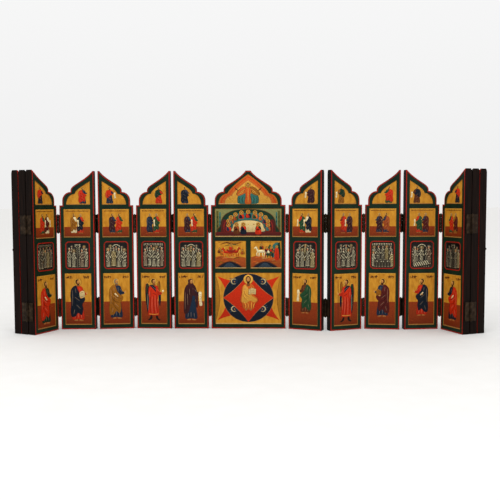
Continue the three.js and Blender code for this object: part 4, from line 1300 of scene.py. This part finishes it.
dab(bm, oval(-0.2, 99.9, 2.8, 3.9), "glow", 6.9, 2)
dab(bm, [(-4, 97.3), (-2.6, 92.9), (-0.2, 90.7), (2.3, 92.9), (3.6, 97.3), (1.6, 95.3), (-0.2, 95),
         (-2, 95.3)], "hair", 7.2)
for sx in (-1, 1):
    stroke(bm, [(sx * 0.8 - 0.2, 101.6), (sx * 1.6 - 0.2, 101.9), (sx * 2.5 - 0.2, 101.5)], 0.5, "hair",
           7.6, 2)
    dab(bm, oval(sx * 1.6 - 0.2, 100.5, 0.7, 0.4, 8), "hair", 7.6, 1)
stroke(bm, [(-0.1, 100.9), (0.2, 98.2), (-0.5, 97.9)], 0.45, "umber", 7.6, 2)
stroke(bm, [(-1.2, 96.4), (-0.2, 96.2), (0.8, 96.4)], 0.5, "madder", 7.6, 2)
dab(bm, [(-9, 77.3), (-6.5, 78.8), (-3.5, 81.8), (-3.6, 84.8), (-5.2, 84.3), (-6, 81.3), (-8.6, 79.8)],
    "glow", 7)
book = [(0.5, 69.1), (7.5, 70.9), (14.5, 69.1), (15, 79.8), (7.7, 81.9), (1, 79.8)]
dab(bm, [(7.6 + (x - 7.6) * 1.1, 75.3 + (z - 75.3) * 1.12) for x, z in book], "umber", 6.8, 1)
dab(bm, book, "cream", 7.2, 1)
stroke(bm, [(7.6, 71.1), (7.6, 81.7)], 0.5, "umber", 7.6, 2)
for i in range(4):
    for left in (2, 9):
        marks(bm, left, left + 4.2, 71.9 + 2.2 * i, 1.1, chance, 7.6)
dab(bm, [(4, 68.1), (8.5, 69.1), (9.5, 71.1), (6, 71.5), (4, 70.1)], "glow", 7.9)
frame_line(bm, -inner_edge, inner_edge, FULL_FIELD[0])

# Two scenes with horses on a brown hill, each over the dark mouth of a cave
for sx in (-1, 1):
    left, right = sorted((sx * MULLION / 2, sx * inner_edge))
    cx = (left + right) / 2
    low = MIDDLE_FIELD[0] + PAINT_GAP
    one_end, other_end = left + EDGE_CLEAR, right - EDGE_CLEAR
    hill = [(one_end, low), (other_end, low), (other_end, low + 21), (cx + 17, low + 23.5),
            (cx + 6, low + 20), (cx - 7, low + 21.5), (cx - 19, low + 25), (one_end, low + 22)]
    dab(bm, hill, "rust", 0.3, 1)
    for i in range(22):
        x, z = chance.uniform(left + 2, right - 14), chance.uniform(low + 7, low + 24)
        stroke(bm, [(x, z), (x + 5, z + 2.2), (x + 11, z + 0.8)], chance.uniform(0.8, 1.6),
               chance.choice(["ochre", "umber", "orange", "tan"]), 0.8 + 0.05 * i)
    cave = [(cx - 22, low + 0.2), (cx - 16, low + 8), (cx - 3, low + 12.5), (cx + 10, low + 9.5),
            (cx + 20, low + 0.2)]
    dab(bm, [(cx + (x - cx) * 1.1, low + (z - low) * 1.14) for x, z in cave], "umber", 2.2)
    dab(bm, cave, "night", 2.5)
    for i in range(5):
        stroke(bm, [(cx - 17 + i * 2, low + 1.4 + i * 1.6), (cx - 2, low + 3 + i * 1.8),
                    (cx + 13 - i * 2, low + 1.4 + i * 1.5)], 0.7, "steel", 2.8)
    if sx < 0:
        stroke(bm, [(cx - 20, 170.2), (cx - 8, 173.2), (cx + 6, 170.7), (cx + 20, 173.2)], 2.2, "umber", 2)
        stroke(bm, [(cx - 12, 166.7), (cx + 2, 169.7), (cx + 16, 168.2)], 2, "olive", 2.2)
        for i, bend in enumerate((-16, -9, 4, 12, 19)):
            stroke(bm, [(cx + bend * 0.6, 149.2), (cx + bend * 0.9, 157.2),
                        (cx + bend * 0.7, 164.2 - i % 2 * 3)], 2.6, "orange" if i % 2 else "sun", 1.6)
        horse(bm, cx - 7, 153.7, 6.6, -1, "cinnabar", 3)
        horse(bm, cx + 9, 154.7, 6.6, 1, tone("cinnabar", 0.75), 4.4)
        dab(bm, [(cx - 5, 155.2), (cx + 7, 155.2), (cx + 9, 160.2), (cx - 7, 160.2)], "madder", 6.2)
        stroke(bm, [(cx - 6, 159.8), (cx + 1, 158.8), (cx + 8, 159.8)], 0.9, "sun", 6.6)
        bust(bm, cx + 1, 168.2, 2.0, "rust", "cinnabar", 6.8)
        bust(bm, cx - 22, 161.2, 1.9, "ochre", "umber", 3, False)
        bust(bm, cx - 17, 157.2, 1.9, "orange", "ochre", 4, False)
        bust(bm, cx + 24, 158.2, 1.8, "ochre", "rust", 3, False)
    else:
        dab(bm, [(cx + 8, 149.2), (cx + 13, 167.2), (cx + 20, 173.2), (cx + 28, 170.2), (cx + 28.6, 145.2),
                 (cx + 18, 143.2)], "teal", 1.7)
        dab(bm, [(cx + 21, 147.2), (cx + 23, 169.2), (cx + 28, 172.2), (cx + 28.8, 143.2)], "pine", 2)
        dab(bm, [(cx - 2, 149.2), (cx + 4, 164.2), (cx + 9, 169.2), (cx + 15, 149.2)], "green", 1.9)
        horse(bm, cx - 11, 155.2, 7.2, -1, "white", 3)
        bust(bm, cx - 9, 169.2, 1.9, "madder", "pine", 5)
        for i, (robe_hue, wrap_hue, leg_hue) in enumerate((
                ("cinnabar", "night", "madder"), ("green", "white", "pine"), ("pine", "cinnabar", "umber"),
                ("blue", "ochre", "night"))):
            stroke(bm, [(cx - 1 + i * 4.8, 153.2), (cx - 1.5 + i * 4.8, 143.2)], 2.4, leg_hue, 3.8)
            bust(bm, cx + 1 + i * 4.8, 163.2 - (i % 2) * 3, 1.7, robe_hue, wrap_hue, 4 + 0.5 * i,
                 i % 2 == 0)
        dab(bm, [(cx + 18, 161.2), (cx + 22, 163.2), (cx + 25, 159.2), (cx + 26, 140.2), (cx + 17, 140.2)],
            "cinnabar", 6)
        stroke(bm, [(cx + 21, 159.2), (cx + 20.5, 142.2)], 0.9, "madder", 6.3)
        small_head(bm, cx + 21.5, 165.2, 1.6, 6.4)
    marks(bm, cx - 24, cx + 24, 173.8, 1.3, chance)
    frame_line(bm, left, right, MIDDLE_FIELD[0])

# Supper round a table, under a wide dark vault between two towers
low, high = UPPER_FIELD[0] + PAINT_GAP, UPPER_FIELD[1] - PAINT_GAP
wall_edge = inner_edge - EDGE_CLEAR
dab(bm, rectangle(-wall_edge, wall_edge, low, high), "sage", 0.2, 1)
for sx in (-1, 1):
    for x, wide, top, hue in ((61.5, 4.4, 237.3, "olive"), (56.5, 3.2, 234.3, "teal")):
        dab(bm, rectangle(*sorted((sx * (x - wide / 2), sx * (x + wide / 2))), 194.3, top), hue, 0.6, 1)
        for i in range(3):
            window = rectangle(*sorted((sx * (x - 0.7), sx * (x + 0.7))), 204.3 + 9 * i, 208.8 + 9 * i)
            dab(bm, window, "pine", 0.9, 1)
vault = [(-54, 191.3), (-54.5, 208.3), (-52, 220.3), (-44, 230.3), (-27, 237.8), (0, 239.9), (27, 237.8),
         (44, 230.3), (52, 220.3), (54.5, 208.3), (54, 191.3)]
dab(bm, [(x * 1.02, min(z + 0.6, high - 0.1)) for x, z in vault], "umber", 1)
dab(bm, vault, "pine", 1.3)
dab(bm, [(x * 0.86, 191.3 + (z - 191.3) * 0.86) for x, z in vault], "teal", 1.5)
for sx in (-1, 1):
    seat = [(53, 191.3), (53.5, 208.3), (50, 219.3), (42, 217.3), (36, 205.3), (34, 191.3)]
    dab(bm, sided(seat, sx), "maroon", 1.7)
    stroke(bm, sided([(48, 193.3), (48.5, 207.3), (45, 216.3)], sx), 1.6, "madder", 1.9)
dab(bm, rectangle(-wall_edge, wall_edge, low, 194.3), "maroon", 2, 1)
stroke(bm, [(-64, 194.5), (0, 194.8), (64, 194.5)], 0.7, "madder", 2.3)
ROBES = ["cinnabar", "blue", "rust", "green", "cinnabar", "night", "orange", "teal"]
for i in range(11):
    a = math.pi * (1.05 - 0.11 * i)
    bust(bm, 40 * math.cos(a), 212.3 + 22.5 * math.sin(a), 2.55, ROBES[i % 8], ROBES[(i * 3 + 1) % 8],
         2.6 + 0.3 * (5 - abs(5 - i)))
table = [(-29, 195.8), (-30.5, 204.3), (-27, 212.3), (-14, 216.8), (0, 217.8), (14, 216.8), (27, 212.3),
         (30.5, 204.3), (29, 195.8)]
dab(bm, [(x * 1.02, z + 0.5) for x, z in table], "umber", 6.4)
dab(bm, table, "cream", 6.8)
dab(bm, [(-28, 196), (-29, 202.3), (-10, 206.3), (10, 206.3), (29, 202.3), (28, 196)], "linen", 7)
for x in (-21, -12, 0, 11, 22):
    dab(bm, oval(x, 211.3 + chance.uniform(-1.5, 2), 1.6, 0.9, 8), chance.choice(["ochre", "rust", "gold"]),
        7.3, 2)
for i in range(7):
    stroke(bm, [(-24 + 8 * i, 204.8), (-24.5 + 8.2 * i, 196.8)], 0.7, "tan", 7.3, 2)
for x, robe_hue, wrap_hue in ((-23.5, "rust", "umber"), (-9.7, "cinnabar", "night"),
                              (20, "pine", "cinnabar")):
    bust(bm, x, 209.8, 2.5, robe_hue, wrap_hue, 7.6)
    dab(bm, [(x - 5, 190.8), (x - 5.2, 199.3), (x + 5, 199.3), (x + 5.4, 190.8)], wrap_hue, 8)
    stroke(bm, [(x - 3, 199.3), (x - 3.4, 191.8)], 0.8, tone(wrap_hue, 0.5), 8.4, 2)
    stroke(bm, [(x + 2, 199.3), (x + 2.6, 191.8)], 0.8, tone(wrap_hue, 1.8), 8.4, 2)
frame_line(bm, -inner_edge, inner_edge, UPPER_FIELD[0])

# Winged figure in the arch, inside a band of orange red
arch_line = arch_field_half(CENTRE_WIDTH / 2, CENTRE_LEDGE, CENTRE_ARCH_TOP, 0)
arch_line = arch_line + mirrored(arch_line)[1:]
foot = ARCH_FIELD_LOW + EDGE_CLEAR
for share, hue, coat in ((0.985, "orange", 0.2), (0.93, "cinnabar", 0.5), (0.905, "orange", 0.7),
                         (0.80, "tan", 0.9), (0.785, "gold", 1.2)):
    dab(bm, [(x * share, foot + (z - foot) * share) for x, z in inset(arch_line, 0.4)], hue, coat, 1)
dab(bm, rectangle(-60, 60, foot, foot + 0.8), "cream", 1.5, 1)
for sx in (-1, 1):
    cloud = sided([(2, 268.5), (11, 271.5), (19, 266.5), (20.5, 257.5), (18, 251.5), (2, 251.5)], sx)
    dab(bm, [(x * 1.05, z + 0.4) for x, z in cloud], "pine", 1.8)
    dab(bm, cloud, "teal", 2.1)
    for i in range(5):
        roll = [(4 + i * 3, 267.5 - i), (6 + i * 3, 260.5), (4.5 + i * 3, 252.5)]
        stroke(bm, sided(roll, sx), 0.9, tone("teal", 1.6) if i % 2 else "pine", 2.6)
    wing = sided([(3, 283.5), (9, 285), (16, 280.5), (22, 272.5), (21, 267.5), (13, 268.5), (6, 273.5)], sx)
    dab(bm, [(x * 1.05, z + 0.3) for x, z in wing], "umber", 2.9)
    dab(bm, wing, "orange" if sx < 0 else "ochre", 3.2)
    for i in range(4):
        feather = [(5 + i, 282.5 - i * 2.2), (12 + i, 277.5 - i * 2), (18 + i, 272 - i)]
        stroke(bm, sided(feather, sx), 0.9, "sun" if i % 2 else "rust", 3.5)
    stroke(bm, sided([(19, 276.5), (23, 279.5), (27, 283.5)], sx), 2, "umber", 2.4)
    stroke(bm, sided([(22, 280.5), (26, 278.5)], sx), 1, "ink", 2.6)
    stroke(bm, sided([(34, 258.5), (39, 263.5), (36, 266.5)], sx), 0.8, "ochre", 1.8)
gown = [(-3.8, 284), (3.6, 284), (5.5, 276.5), (4, 266.5), (5.6, 252), (-6, 252), (-4.5, 266.5),
        (-6, 276.5)]
dab(bm, [(x * 1.14, z) for x, z in gown], "umber", 3.9)
dab(bm, gown, "orange", 4.2)
for x in (-3, 0, 3):
    stroke(bm, [(x * 0.7, 281.5), (x, 268.5), (x * 1.2, 253.5)], 0.9, "cinnabar" if x else "sun", 4.6)
small_head(bm, -0.2, 288.3, 3.1, 4.8)
marks(bm, -38, -30, 262.5, 1.6, chance)
marks(bm, 31, 39, 262.5, 1.6, chance)

raise_paint(bm)
bm.transform(board_places["centre"] @ Matrix.Scale(MM, 4))
ride(add_object("centre_panel_pictures", bm, [tempera]), "centre", "painted_board")
